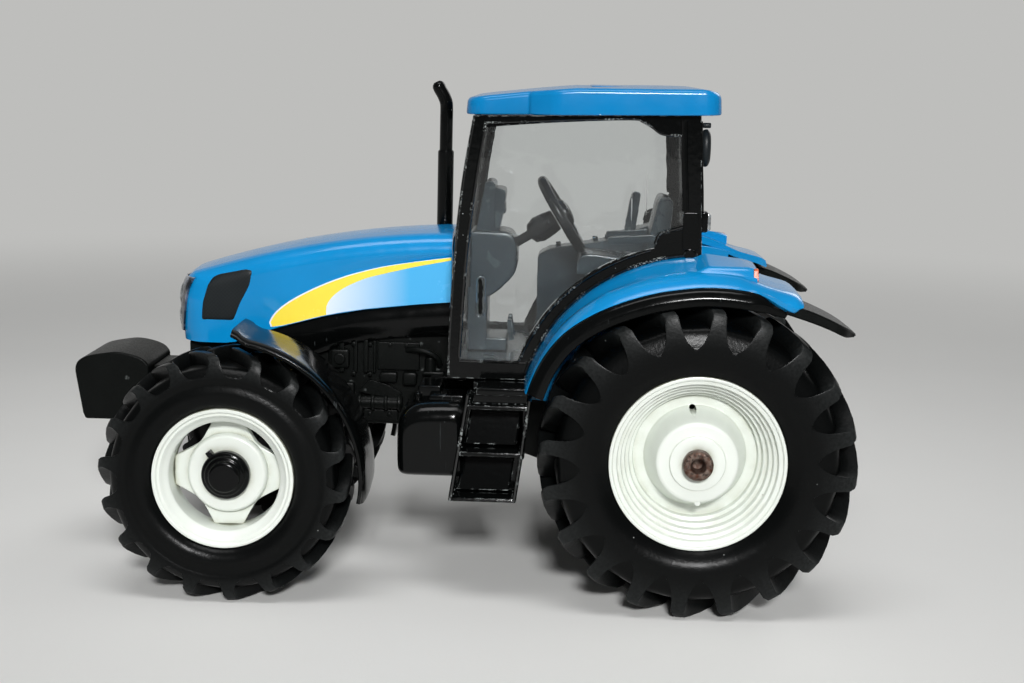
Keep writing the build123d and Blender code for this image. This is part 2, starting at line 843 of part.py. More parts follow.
with BuildPart() as cab_shell:
    with BuildSketch(side_plane(cab_half_width)):
        cab_face(0, 0, 0.001)
    extrude(amount=2 * cab_half_width)
    with BuildSketch(side_plane(cab_half_width - cab_wall)):
        cab_face(cab_wall, cab_wall, 2.0)
    extrude(amount=2 * (cab_half_width - cab_wall), mode=Mode.SUBTRACT)
    with BuildSketch(side_plane(cab_half_width + 1)):
        arch_face(seat_gap)
    extrude(amount=2 * (cab_half_width + 1), mode=Mode.SUBTRACT)


def side_window(gap):
    """Side view of a door's glass between the pillars, smaller by gap all round."""
    front_top = (cab_front_top_x - pillar_front - gap, cab_top_front - header_front - gap)
    rear_top = (upper_gusset_x + 3.0, cab_top(upper_gusset_x + 3.0) - header_rear - gap)
    middle_x = (front_top[0] + rear_top[0]) / 2 - 2.0
    gusset_z = cab_top_rear - upper_gusset_drop - gap
    with BuildLine() as edge:
        ThreePointArc(
            (cab_front - pillar_front - gap, cab_sill + sill_height + gap),
            (cab_front_mid_x - pillar_front - gap, cab_front_mid_z),
            front_top,
        )
        ThreePointArc(
            front_top,
            (middle_x, cab_top(middle_x) - 0.4 * header_front - 0.35 * header_rear - gap),
            rear_top,
        )
        Polyline(
            rear_top,
            (upper_gusset_x + 0.9, gusset_z + 1.5),
            (upper_gusset_x - 0.6, gusset_z + 0.3),
            (upper_gusset_x - 2.0, gusset_z),
            (cab_rear(gusset_z) + pillar_rear + gap, gusset_z),
            (cab_rear(lower_gusset_top) + pillar_rear + gap, lower_gusset_top + gap),
            (lower_gusset_x - 2.6 + gap, lower_gusset_top - 0.7 + gap),
            (lower_gusset_x - 0.7 + gap, lower_gusset_top - 1.3 + gap),
            (lower_gusset_x + gap, lower_gusset_top - 3.0),
            (lower_gusset_x + gap, cab_sill + sill_height + gap),
            (cab_front - pillar_front - gap, cab_sill + sill_height + gap),
        )
    make_face(edge.edges())


def window_on_end(bottom, top, half_width, gap):
    """Inside a sketch across the cab: a windscreen or rear window."""
    with Locations((0, (bottom + top) / 2)):
        Rectangle(2 * (half_width - gap), top - bottom - 2 * gap)


front_cut = Plane(
    origin=(rear_x + cab_front_top_x - cab_wall - 1.5, 0, 0), x_dir=(0, 1, 0), z_dir=(1, 0, 0)
)
rear_cut = Plane(
    origin=(rear_x + cab_rear_top_x + cab_wall + 0.8, 0, 0), x_dir=(0, -1, 0), z_dir=(-1, 0, 0)
)
end_reach = 8.0

with BuildPart() as cab_frame:
    add(cab_shell.part)
    with BuildSketch(side_plane(cab_half_width + 1)):
        side_window(0)
        arch_face(arch_band, Mode.SUBTRACT)
    extrude(amount=2 * (cab_half_width + 1), mode=Mode.SUBTRACT)
    with BuildSketch(front_cut):
        window_on_end(windscreen_bottom, windscreen_top, cab_half_width - windscreen_inset, 0)
    extrude(amount=end_reach, mode=Mode.SUBTRACT)
    with BuildSketch(rear_cut):
        window_on_end(rear_window_bottom, rear_window_top, cab_half_width - rear_window_inset, 0)
    extrude(amount=end_reach, mode=Mode.SUBTRACT)
write(cab_frame.part, "cab_frame")

with BuildPart() as door_glass:
    add(cab_shell.part)
    with BuildSketch(side_plane(cab_half_width + 1)):
        side_window(pane_gap)
        arch_face(arch_band + pane_gap, Mode.SUBTRACT)
    extrude(amount=cab_half_width, mode=Mode.INTERSECT)
write_pair(door_glass.part, "door_glass")

with BuildPart() as windscreen:
    add(cab_shell.part)
    with BuildSketch(front_cut):
        window_on_end(windscreen_bottom, windscreen_top, cab_half_width - windscreen_inset, pane_gap)
    extrude(amount=end_reach, mode=Mode.INTERSECT)
write(windscreen.part, "windscreen")

with BuildPart() as rear_window:
    add(cab_shell.part)
    with BuildSketch(rear_cut):
        window_on_end(rear_window_bottom, rear_window_top, cab_half_width - rear_window_inset, pane_gap)
    extrude(amount=end_reach, mode=Mode.INTERSECT)
write(rear_window.part, "rear_window")

# Roof: narrower over the windscreen, with a slanted step out over the doors; its
# top rises from the brow to a flat middle.
roof_half_width = cab_half_width + roof_overhang
roof_front_half_width = cab_half_width - roof_brow_inset
with BuildPart() as roof:
    with BuildSketch(Plane.XY.offset(cab_sill)):
        with BuildLine():
            Polyline(
                (rear_x + roof_front_x, -roof_front_half_width),
                (rear_x + roof_front_x, roof_front_half_width),
                (rear_x + roof_jog_front_x, roof_front_half_width),
                (rear_x + roof_jog_rear_x, roof_half_width),
                (rear_x + roof_rear_x, roof_half_width),
                (rear_x + roof_rear_x, -roof_half_width),
                (rear_x + roof_jog_rear_x, -roof_half_width),
                (rear_x + roof_jog_front_x, -roof_front_half_width),
                close=True,
            )
        make_face()
    extrude(amount=2 * (roof_top - cab_sill))
    fillet(roof.edges().filter_by(Axis.Z).group_by(Axis.X)[0], roof_corner)
    fillet(roof.edges().filter_by(Axis.Z).group_by(Axis.X)[-1], roof_corner)
    with BuildSketch(side_plane(roof_half_width + 1)):
        with BuildLine():
            Polyline(
                (roof_flat_front_x, roof_top),
                (roof_flat_rear_x, roof_top),
                (roof_rear_x, roof_rear_top),
                (roof_rear_x, cab_top(roof_rear_x) + seat_gap),
                (roof_front_x, cab_top(roof_front_x) + seat_gap),
                (roof_front_x, roof_front_top),
            )
            ThreePointArc(
                (roof_front_x, roof_front_top),
                (roof_brow_x, roof_brow_top),
                (roof_flat_front_x, roof_top),
            )
        make_face()
    extrude(amount=2 * (roof_half_width + 1), mode=Mode.INTERSECT)
    rims = roof.edges().filter_by_position(Axis.Z, roof_front_top - 0.5, roof_top + 0.1)
    inner = rims.filter_by(Axis.Y).filter_by_position(
        Axis.X, rear_x + roof_rear_x + 0.5, rear_x + roof_front_x - 0.5
    )
    fillet(rims - inner, roof_edge)
write(roof.part, "roof")

# ================================================================ cab inside
inner_half_width = cab_half_width - cab_wall - seat_gap
fender_inner_face = fender_wall_y - fender_wall
arch_front_x = (rear_tyre_radius + fender_table[0][1]) * cos(radians(fender_table[0][0])) + 0.4
bulkhead_top = cab_rear_z + 0.7
with BuildPart() as cab_floor:
    block(
        cab_rear_x + cab_wall, cab_front - cab_wall - seat_gap,
        -fender_inner_face + seat_gap, fender_inner_face - seat_gap,
        cab_sill, cab_sill + floor_thickness,
    )
    block(
        arch_front_x, cab_front - cab_wall - seat_gap, -inner_half_width, inner_half_width,
        cab_sill, cab_sill + floor_thickness,
    )
    block(
        cab_rear_x, cab_rear_x + cab_wall, -fender_inner_face + seat_gap,
        fender_inner_face - seat_gap, cab_sill, bulkhead_top,
    )
write(cab_floor.part, "cab_floor")

floor_top = cab_sill + floor_thickness
dash_half_width = 5.5
with BuildPart() as dash_console:
    side_slab(
        (
            (37.0, floor_top), (41.2, floor_top), (41.2, 46.0), (40.6, 56.0), (39.5, 64.0),
            (38.4, 71.8), (36.4, 71.8), (34.3, 69.8), (36.0, 63.4), (33.9, 62.0), (32.2, 59.2),
            (31.9, 57.4), (32.4, 54.6), (34.2, 52.4), (37.0, 51.0),
        ),
        -dash_half_width, dash_half_width,
    )
write(dash_console.part, "dash_console")

# Steering wheel on its column, leaning back over the seat's front edge.
wheel_centre_x, wheel_centre_z = 23.9, 65.3
steering_tilt = 58.5
steering_radius = 8.0
steering_rim = 0.75
hub_radius = 1.9
hub_thickness = 1.1
spoke_width = 1.3
column_radius = 0.9
column_length = 6.9
wheel_place = Plane(
    origin=(rear_x + wheel_centre_x, 0, wheel_centre_z),
    x_dir=(0, 1, 0),
    z_dir=(-sin(radians(steering_tilt)), 0, cos(radians(steering_tilt))),
)
with BuildPart() as steering_column:
    with BuildSketch(wheel_place.offset(-hub_thickness)):
        Circle(column_radius)
    extrude(amount=-column_length)
write(steering_column.part, "steering_column")

with BuildPart() as steering_wheel:
    with BuildSketch(Plane(wheel_place.origin, x_dir=wheel_place.x_dir, z_dir=-wheel_place.y_dir)):
        with Locations((steering_radius - steering_rim, 0)):
            Circle(steering_rim)
    revolve(axis=Axis(wheel_place.origin, wheel_place.z_dir))
    with BuildSketch(wheel_place.offset(-hub_thickness)):
        Circle(hub_radius)
        for angle in (0, 120, 240):
            with Locations(Rotation(0, 0, angle) * Pos(steering_radius / 2, 0)):
                Rectangle(steering_radius - steering_rim, spoke_width)
    extrude(amount=hub_thickness)
write(steering_wheel.part, "steering_wheel")

# Seat: a block with raised sides, dished under the steering wheel, and a short back.
seat_half_width = 6.0
seat_bolster = 1.4
with BuildPart() as driver_seat:
    side_slab(
        (
            (8.5, floor_top), (20.4, floor_top), (21.3, 50.0), (21.3, 57.2), (19.8, 58.9),
            (12.4, 59.2), (7.2, 57.6), (6.4, 63.0), (6.3, 69.6), (3.9, 69.6), (3.9, 58.0),
            (5.6, 51.0),
        ),
        -seat_half_width, seat_half_width,
    )
    side_slab(
        ((22.0, 55.4), (22.0, 60.5), (8.6, 60.5), (7.6, 56.6), (12.4, 57.3), (18.6, 57.0)),
        seat_bolster - seat_half_width, seat_half_width - seat_bolster, Mode.SUBTRACT,
    )
write(driver_seat.part, "driver_seat")

# Right-hand console with its lever.
console_inner_y, console_outer_y = -7.3, -13.0
with BuildPart() as side_console:
    side_slab(
        (
            (5.0, floor_top), (28.4, floor_top), (28.6, 56.6), (24.7, 58.2), (20.9, 63.4),
            (6.4, 64.0), (5.0, 61.0),
        ),
        console_outer_y, console_inner_y,
    )
    side_slab(((11.0, 56.0), (12.6, 56.0), (11.2, 69.6), (9.3, 69.6)), -7.6, -6.35)
write(side_console.part, "side_console")

# ================================================================ exhaust
exhaust_x = cab_front + 3.5
exhaust_y = -13.6
exhaust_radius = 1.55
tailpipe_radius = 1.1
exhaust_joint_z = 76.3
exhaust_bottom_z = skirt_bottom - 2 * exhaust_radius - 0.2
exhaust_bend_z = 84.2
exhaust_tip = (1.9, 5.0)
with BuildPart() as exhaust_stack:
    upright_rod(rear_x + exhaust_x, exhaust_y, exhaust_radius, exhaust_bottom_z, exhaust_joint_z)
    cross_rod(
        exhaust_x, exhaust_bottom_z + exhaust_radius, exhaust_radius,
        exhaust_y, -engine_half_width - seat_gap,
    )
    with BuildLine() as tailpipe_path:
        FilletPolyline(
            (rear_x + exhaust_x, exhaust_y, exhaust_joint_z - 0.5),
            (rear_x + exhaust_x, exhaust_y, exhaust_bend_z),
            (rear_x + exhaust_x + exhaust_tip[0], exhaust_y, exhaust_bend_z + exhaust_tip[1]),
            radius=4.0,
        )
    with BuildSketch(Plane.XY.offset(exhaust_joint_z - 0.5)):
        with Locations((rear_x + exhaust_x, exhaust_y)):
            Circle(tailpipe_radius)
    sweep(path=tailpipe_path.wire())
write(exhaust_stack.part, "exhaust_stack")

# ================================================================ rear fenders
def crown_points(column, extra):
    """Side-view points of the fender's crown, from one column of its table."""
    return [
        around(0, rear_axle_z, rear_tyre_radius + row[column] + extra, row[0])
        for row in fender_table
    ]


def crown_strip(top, under):
    """Inside a sketch: the curved strip between two rows of crown points."""
    with BuildLine() as edge:
        ThreePointArc(top[0], top[1], top[2])
        ThreePointArc(top[2], top[3], top[4])
        Line(top[4], under[4])
        ThreePointArc(under[4], under[3], under[2])
        ThreePointArc(under[2], under[1], under[0])
        Line(under[0], top[0])
    make_face(edge.edges())


lamp_box_low_y, lamp_box_high_y = 22.6, 33.0
tyre_top = rear_axle_z + rear_tyre_radius
lamp_box_outline = (
    (0.4, tyre_top + 2.9), (0.4, tyre_top + 8.0), (-7.2, tyre_top + 7.6),
    (-8.6, tyre_top + 3.9), (-8.6, tyre_top + 2.3),
)
with BuildPart() as rear_fender:
    with BuildSketch(side_plane(cab_half_width)):
        crown_strip(crown_points(1, 0), crown_points(1, -fender_thickness))
    with BuildSketch(side_plane(fender_outer_y)):
        crown_strip(crown_points(2, 0), crown_points(2, -fender_edge_thickness))
    loft(ruled=True)
    with BuildSketch(side_plane(cab_half_width)):
        crown_strip(crown_points(1, 0), crown_points(1, -fender_thickness))
    extrude(amount=cab_half_width - fender_inner_face)
    with BuildSketch(side_plane(fender_wall_y)):
        arch_face(-0.3)
    extrude(amount=fender_wall)
    block(
        -rear_tyre_radius * 2, rear_tyre_radius * 2, 0, fender_outer_y,
        0, rear_axle_z + axle_tube_radius + tube_clearance, Mode.SUBTRACT,
    )
    side_slab(lamp_box_outline, lamp_box_low_y, lamp_box_high_y)
write_pair(rear_fender.part, "rear_fender")

# Black edging: a lip between the crown's outer edge and the tyre, a mud flap behind.
# The flap's side view: angle about the rear axle, height above the tyre.
flap_table = ((118.9, 2.25), (119.2, 3.95), (139.3, 7.55), (139.95, 6.8), (138.5, 5.4))
flap_outline = [
    around(0, rear_axle_z, rear_tyre_radius + rise, angle) for angle, rise in flap_table
]
with BuildPart() as fender_edging:
    with BuildSketch(side_plane(lip_outer_y)):
        clear = [
            around(0, rear_axle_z, rear_tyre_radius + lip_clearance, row[0])
            for row in fender_table
        ]
        crown_strip(crown_points(2, -fender_edge_thickness - seat_gap), clear)
    extrude(amount=lip_width)
    side_slab(flap_outline, flap_inner_y, lip_outer_y - 0.4)
write_pair(fender_edging.part, "fender_edging")

# ================================================================ rear end
# Hitch: a clevis behind the gearbox, a drawbar's eye drops between its tongues.
hitch_half_width = 4.0
hitch_low, hitch_high = 21.6, 30.4
hitch_gap = 5.0
hitch_tongue_end = -21.5
hitch_spine_x = -14.0
hitch_pin_x = -18.2
hitch_bore_radius = 1.4
with BuildPart() as tow_hitch:
    block(
        hitch_tongue_end, gearbox_rear_x - seat_gap,
        -hitch_half_width, hitch_half_width, hitch_low, hitch_high,
    )
    middle = (hitch_low + hitch_high) / 2
    block(
        hitch_tongue_end, hitch_spine_x, -hitch_half_width, hitch_half_width,
        middle - hitch_gap / 2, middle + hitch_gap / 2, Mode.SUBTRACT,
    )
    upright_rod(
        rear_x + hitch_pin_x, 0, hitch_bore_radius, hitch_low, hitch_high, Mode.SUBTRACT,
    )
    fillet(tow_hitch.edges().filter_by(Axis.Z).group_by(Axis.X)[0], 2.0)
write(tow_hitch.part, "tow_hitch")

# Lamps on the cab's rear corners: oval work lamps high up, square lamps lower down.
lamp_seat = 0.05
work_lamp_y, work_lamp_z = cab_half_width - 2.6, 79.3
work_lamp_half_width, work_lamp_half_height = 1.9, 3.2
work_lamp_depth = 1.6
rear_face = Plane(
    origin=(rear_x + cab_rear(work_lamp_z) - lamp_seat, 0, work_lamp_z),
    x_dir=(0, -1, 0),
    z_dir=(cab_rear_z - cab_top_rear, 0, cab_rear_top_x - cab_rear_x),
)
with BuildPart() as work_lamps:
    with BuildSketch(rear_face):
        with Locations((work_lamp_y, 0), (-work_lamp_y, 0)):
            Ellipse(work_lamp_half_width, work_lamp_half_height)
    extrude(amount=work_lamp_depth)
    fillet(work_lamps.faces().sort_by(Axis.X)[:2].edges(), 0.7)
write(work_lamps.part, "work_lamps")

tail_lamp_inner_y, tail_lamp_outer_y = cab_half_width - 3.2, cab_half_width - 0.2
tail_lamp_low, tail_lamp_high = 65.0, 68.6
tail_lamp_depth = 1.5
tail_lamp_x = cab_rear(tail_lamp_low) - lamp_seat
with BuildPart() as tail_lamps:
    for low, high in (
        (tail_lamp_inner_y, tail_lamp_outer_y), (-tail_lamp_outer_y, -tail_lamp_inner_y)
    ):
        block(tail_lamp_x - tail_lamp_depth, tail_lamp_x, low, high, tail_lamp_low, tail_lamp_high)
write(tail_lamps.part, "tail_lamps")
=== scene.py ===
"""Looks of a die-cast toy farm tractor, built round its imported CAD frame."""

import json
import math
from math import cos, pi, radians, sin, sqrt

import bmesh
import bpy
from bpy.props import FloatProperty, FloatVectorProperty, IntProperty, PointerProperty
from mathutils import Matrix, Vector


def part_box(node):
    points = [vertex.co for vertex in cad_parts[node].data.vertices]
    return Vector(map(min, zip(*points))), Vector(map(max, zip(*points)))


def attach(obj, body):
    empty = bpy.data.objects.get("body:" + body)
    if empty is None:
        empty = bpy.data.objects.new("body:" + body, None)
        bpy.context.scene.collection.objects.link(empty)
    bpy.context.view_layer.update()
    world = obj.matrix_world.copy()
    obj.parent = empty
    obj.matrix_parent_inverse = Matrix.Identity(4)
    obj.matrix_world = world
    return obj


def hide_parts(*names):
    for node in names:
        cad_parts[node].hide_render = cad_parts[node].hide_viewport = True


bl_info = {
    "name": "Toy Farm Tractor",
    "version": (1, 0, 0),
    "blender": (4, 5, 0),
    "location": "3D View > Sidebar > Tractor",
    "description": "Builds the visual pieces of a die-cast toy tractor on its packed frame",
    "category": "Object",
}

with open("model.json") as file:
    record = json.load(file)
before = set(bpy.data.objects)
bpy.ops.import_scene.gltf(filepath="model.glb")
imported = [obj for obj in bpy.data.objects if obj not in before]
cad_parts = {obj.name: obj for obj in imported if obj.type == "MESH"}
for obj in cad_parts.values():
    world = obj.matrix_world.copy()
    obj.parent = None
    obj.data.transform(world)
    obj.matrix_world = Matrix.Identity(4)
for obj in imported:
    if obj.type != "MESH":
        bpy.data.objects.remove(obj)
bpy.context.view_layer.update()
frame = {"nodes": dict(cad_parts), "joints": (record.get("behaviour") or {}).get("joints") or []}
NODES = frame["nodes"]
JOINTS = {joint["name"]: joint for joint in frame["joints"]}
MM = 0.001
REAR = Vector(JOINTS["rear_wheel_left_spin"]["pos_m"]) / MM
FRONT = Vector(JOINTS["front_wheel_left_spin"]["pos_m"]) / MM
WHEELBASE = FRONT.x - REAR.x
SIDES = (("left", 1), ("right", -1))


def size_mm(node):
    """A CAD node's lowest and highest corners in millimetres, x from the rear axle."""
    low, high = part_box(node)
    shift = Vector((REAR.x, 0, 0))
    return low / MM - shift, high / MM - shift


TYRE_REAR = size_mm("rear_tyre_left")[1].z / 2


def linear(code):
    """An sRGB hex colour as linear red, green, blue and alpha."""
    parts = [int(code[i : i + 2], 16) / 255 for i in (1, 3, 5)]
    return tuple(c / 12.92 if c <= 0.04045 else ((c + 0.055) / 1.055) ** 2.4 for c in parts) + (1.0,)


def colour(code, name, description):
    """A colour property whose default is an sRGB hex value."""
    return FloatVectorProperty(
        name=name, description=description, subtype="COLOR", size=4, min=0, max=1, default=linear(code)
    )


def angle(degrees, name, description):
    """An angle property whose default is given in degrees."""
    return FloatProperty(
        name=name, description=description, subtype="ANGLE", default=radians(degrees)
    )


def power(watts, name, lamp):
    """A lamp's power in watts."""
    return FloatProperty(name=name, description=f"Watts of the {lamp}", default=watts)


def length(mm, name, description):
    """A length property whose default is given in millimetres."""
    return FloatProperty(name=name, description=description, unit="LENGTH", precision=5, default=mm * MM)


class TractorColours(bpy.types.PropertyGroup):
    """The toy's paints, plastics and printed inks."""

    enamel: colour("#0583c1", "Enamel blue", "Sprayed bonnet and rear fenders")
    roof: colour("#0877b2", "Roof blue", "Moulded roof")
    gloss_black: colour("#050606", "Gloss black", "Cab frame, fenders, steps and tanks")
    charcoal: colour("#0a0c0b", "Charcoal", "Moulded chassis and front weight")
    cab_grey: colour("#1e272c", "Cab grey", "Dash, seat and consoles")
    wheel_black: colour("#0f1113", "Wheel charcoal", "Steering wheel and column")
    rim_white: colour("#e0e5de", "Rim white", "Moulded wheel centres")
    rubber: colour("#050606", "Rubber", "Tyres")
    worn_rubber: colour("#282a2a", "Worn rubber", "Dusty lug tips")
    print_yellow: colour("#fbe24c", "Print yellow", "Band printed on the bonnet")
    print_sky: colour("#49ade4", "Print sky", "Rear end of the printed panel")
    print_white: colour("#e2edf7", "Print white", "Front end of the printed panel and its outline")
    lamp_orange: colour("#cf5c2c", "Lamp orange", "Fender lamps")
    rust: colour("#4a2c1e", "Rust", "Riveted axle ends")


class TreadSizes(bpy.types.PropertyGroup):
    """Numbers and sizes of the tyres' lugs."""

    rear_lugs: IntProperty(name="Rear lugs", description="Lugs on each side of it", default=20, min=8)
    front_lugs: IntProperty(name="Front lugs", description="Lugs on each side of it", default=18, min=8)
    slant: angle(13, "Lug slant", "Turn of a lug from its tip to the tread's middle")
    edge: length(0.25, "Lug edge", "Rounding along a lug's top")


class BodySizes(bpy.types.PropertyGroup):
    """Roundings and offsets of the body."""

    shoulder: length(3.3, "Bonnet shoulder", "Roll between the bonnet's top and sides")
    nose_corner: length(5.4, "Nose corner", "Roll between the nose and the sides")
    fold: length(0.45, "Bonnet fold", "Ledge along the printed panel's top edge")
    film: length(0.03, "Print film", "Height of the printed panel above the enamel")
    roof_edge: length(0.9, "Roof edge", "Roll round the roof's top")
    moulded_edge: length(0.3, "Moulded edge", "Rounding of moulded and cast edges")
    fine_edge: length(0.14, "Fine edge", "Rounding of small pieces' edges")


class StageSettings(bpy.types.PropertyGroup):
    """Floor, lamps and camera."""

    floor: colour("#e2e2e0", "Floor", "Pale floor round the tractor")
    backdrop: colour("#bebebc", "Backdrop", "Pale paper away from the tractor")
    key_power: power(0.43, "Key power", "lamp above and behind the camera")
    fill_power: power(0.32, "Fill power", "overhead lamp")
    rim_power: power(0.3, "Back power", "lamp behind the tractor")
    sky: FloatProperty(name="Sky", description="Strength of the even light all round", default=0.16)
    lens: FloatProperty(name="Lens", description="Focal length on a 36 mm wide frame", default=56.99)
    pitch: angle(9.69, "Pitch", "Camera looks down by")
    yaw: angle(1.70, "Yaw", "Camera looks forward of square by")
    roll: angle(1.36, "Roll", "Camera rolls by")
    reach: length(299.56, "Distance", "Camera out from the tractor's middle line")
    ahead: length(23.83, "Ahead", "Camera ahead of the rear axle")
    height: length(92.63, "Height", "Camera above the floor")


# ------------------------------------------------------------------ finishes


def add(tree, kind, wires=None, **settings):
    """Add a node, set its settings, and fill its sockets with values or links."""
    node = tree.nodes.new(kind)
    for name, value in settings.items():
        setattr(node, name, value)
    for key, value in (wires or {}).items():
        if isinstance(value, bpy.types.NodeSocket):
            tree.links.new(value, node.inputs[key])
        else:
            node.inputs[key].default_value = value
    return node


def per_mm(mm):
    """Texture scale whose features are that many millimetres across."""
    return 1 / (mm * MM)


def place(tree):
    """Coordinates in metres, fixed to the piece."""
    return add(tree, "ShaderNodeTexCoord").outputs["Object"]


def ramp(tree, value, low, high, first=0.0, last=1.0, **settings):
    """Number that goes from first to last as a value goes from low to high."""
    span = {"Value": value, "From Min": low, "From Max": high, "To Min": first, "To Max": last}
    return add(tree, "ShaderNodeMapRange", span, **settings).outputs["Result"]


def combine(tree, operation, a, b):
    """Two values put together by an operation, kept between 0 and 1."""
    return add(tree, "ShaderNodeMath", {0: a, 1: b}, operation=operation, use_clamp=True).outputs["Value"]


def mottle(tree, mm, low=0.3, high=0.7, detail=3.0):
    """Soft noise of that grain, as a share that rises from low to high."""
    grain = add(tree, "ShaderNodeTexNoise", {"Vector": place(tree), "Scale": per_mm(mm), "Detail": detail})
    return ramp(tree, grain.outputs["Fac"], low, high)


def specks(tree, mm, share, radius):
    """Small round specks: a share of cells, one every so many millimetres, has one."""
    cells = add(tree, "ShaderNodeTexVoronoi", {"Vector": place(tree), "Scale": per_mm(mm)})
    dot = ramp(tree, cells.outputs["Distance"], radius, radius * 0.5)
    chosen = add(tree, "ShaderNodeSeparateColor", {"Color": cells.outputs["Color"]}).outputs["Red"]
    return combine(tree, "MULTIPLY", dot, combine(tree, "LESS_THAN", chosen, share))


def scratches(tree, mm, turn, low, high):
    """Fine straight scratches that run at an angle in the side view."""
    spot = {"Vector": place(tree), "Rotation": (0, turn, 0), "Scale": (1, 1, 0.03)}
    turned = add(tree, "ShaderNodeMapping", spot).outputs["Vector"]
    grain = add(tree, "ShaderNodeTexNoise", {"Vector": turned, "Scale": per_mm(mm), "Detail": 2.0})
    return ramp(tree, grain.outputs["Fac"], low, high)


def edge_wear(tree, mm, low, high):
    """A share that is high on sharp outer edges, found where rounded normals part."""
    soft = add(tree, "ShaderNodeBevel", {"Radius": mm * MM}, samples=6).outputs["Normal"]
    sharp = add(tree, "ShaderNodeNewGeometry").outputs["Normal"]
    dot = add(tree, "ShaderNodeVectorMath", {0: soft, 1: sharp}, operation="DOT_PRODUCT").outputs["Value"]
    return ramp(tree, dot, high, low)


def crevices(tree, mm):
    """A share that is high in corners and recesses, where shade falls; it is used to paint shade."""
    openness = add(tree, "ShaderNodeAmbientOcclusion", {"Distance": mm * MM}, samples=8).outputs["AO"]
    return ramp(tree, openness, 0.9, 0.35)


def times(tree, a, b):
    """Product of two shares."""
    return combine(tree, "MULTIPLY", a, b)


def seen_by(tree, *kinds):
    """1 for those kinds of ray, 0 for all others."""
    rays = add(tree, "ShaderNodeLightPath").outputs
    seen = rays[kinds[0]]
    for kind in kinds[1:]:
        seen = combine(tree, "MAXIMUM", seen, rays[kind])
    return seen


def blend(tree, share, first, second):
    """Colour that goes from first to second with a share."""
    return add(tree, "ShaderNodeMix", {0: share, 6: first, 7: second}, data_type="RGBA").outputs[2]


def between(tree, share, first, second):
    """Number that goes from first to second with a share."""
    return ramp(tree, share, 0.0, 1.0, first, second)


def relief(tree, height, mm):
    """Bumps as high as that many millimetres."""
    bumps = {"Height": height, "Distance": mm * MM, "Strength": 1.0}
    return add(tree, "ShaderNodeBump", bumps).outputs["Normal"]


def shade(c, factor):
    """A colour made darker or lighter by a factor."""
    return tuple(min(1.0, v * factor) for v in c[:3]) + (1.0,)


def uneven(tree, mm, first, second):
    """Number that wanders between two values, in patches of that many millimetres."""
    return between(tree, mottle(tree, mm), first, second)


def ripple(tree, mm, height):
    """Bumps of that width and height in millimetres."""
    return relief(tree, mottle(tree, mm), height)


def clouded(tree, mm, c, dark, light):
    """A colour that wanders between two shades of itself, in patches of that size."""
    return blend(tree, mottle(tree, mm), shade(c, dark), shade(c, light))


def finish(build):
    """The finish that a function builds, built once and named for it."""
    name = build.__name__.replace("_", " ")
    found = bpy.data.materials.get(name)
    if found is not None:
        return found
    material = bpy.data.materials.new(name)
    material.use_nodes = True
    tree = material.node_tree
    tree.nodes.clear()
    surface = build(tree, bpy.context.scene.tractor_colours)
    add(tree, "ShaderNodeOutputMaterial", {"Surface": surface})
    return material


def surface(tree, **sockets):
    """A Principled surface; socket names are written with underscores."""
    wires = {name.replace("_", " "): value for name, value in sockets.items()}
    return add(tree, "ShaderNodeBsdfPrincipled", wires).outputs["BSDF"]


# Alkyd enamel sprayed on die-cast zinc: a deep even blue with a wet gloss, faint
# orange peel and a few dust specks caught in the paint.
def sprayed_enamel(tree, paint):
    peel = mottle(tree, 1.6)
    dust = specks(tree, 4.0, 0.10, 0.035)
    tone = blend(tree, mottle(tree, 14.0, 0.35, 0.65), shade(paint.enamel, 0.94), shade(paint.enamel, 1.06))
    return surface(
        tree, Base_Color=blend(tree, dust, tone, linear("#9fc4dc")), IOR=1.5, Specular_IOR_Level=0.34,
        Roughness=between(tree, peel, 0.16, 0.24), Coat_Weight=0.25, Coat_Roughness=0.05,
        Normal=relief(tree, peel, 0.002),
    )


# ABS injection-moulded in its own colour: an even satin-to-gloss blue, with wide
# soft highlights and hardly any texture.
def moulded_blue(tree, paint):
    rub = specks(tree, 5.0, 0.08, 0.04)
    tone = clouded(tree, 9.0, paint.roof, 0.95, 1.05)
    return surface(
        tree, Base_Color=blend(tree, rub, tone, linear("#a9cbe2")), IOR=1.53, Specular_IOR_Level=0.28,
        Roughness=uneven(tree, 3.0, 0.16, 0.24), Normal=ripple(tree, 2.2, 0.002),
    )


# Polystyrene injection-moulded in black: near-black with sharp small highlights,
# pin-prick dust and short pale rubs.
def moulded_gloss_black(tree, paint):
    dust = specks(tree, 2.6, 0.16, 0.05)
    rub = times(tree, scratches(tree, 0.8, 1.2, 0.68, 0.76), mottle(tree, 4.0, 0.52, 0.64))
    tone = blend(tree, dust, paint.gloss_black, linear("#7b7f80"))
    return surface(
        tree, Base_Color=blend(tree, rub, tone, linear("#3a3e3f")), IOR=1.55, Specular_IOR_Level=0.16,
        Roughness=uneven(tree, 2.4, 0.09, 0.18), Normal=ripple(tree, 1.2, 0.006),
    )


# The same black polystyrene on the cab frame, handled most: its corners are rubbed
# through to a broken silvery line.
def rubbed_gloss_black(tree, paint):
    worn = times(tree, edge_wear(tree, 0.35, 0.80, 0.97), mottle(tree, 1.3, 0.5, 0.62, 5.0))
    dust = specks(tree, 2.2, 0.18, 0.06)
    tone = blend(tree, dust, paint.gloss_black, linear("#8a8e8f"))
    return surface(
        tree, Base_Color=blend(tree, worn, tone, linear("#8f9594")), IOR=1.55,
        Specular_IOR_Level=0.18, Roughness=between(tree, worn, 0.1, 0.34), Normal=ripple(tree, 1.2, 0.008),
    )
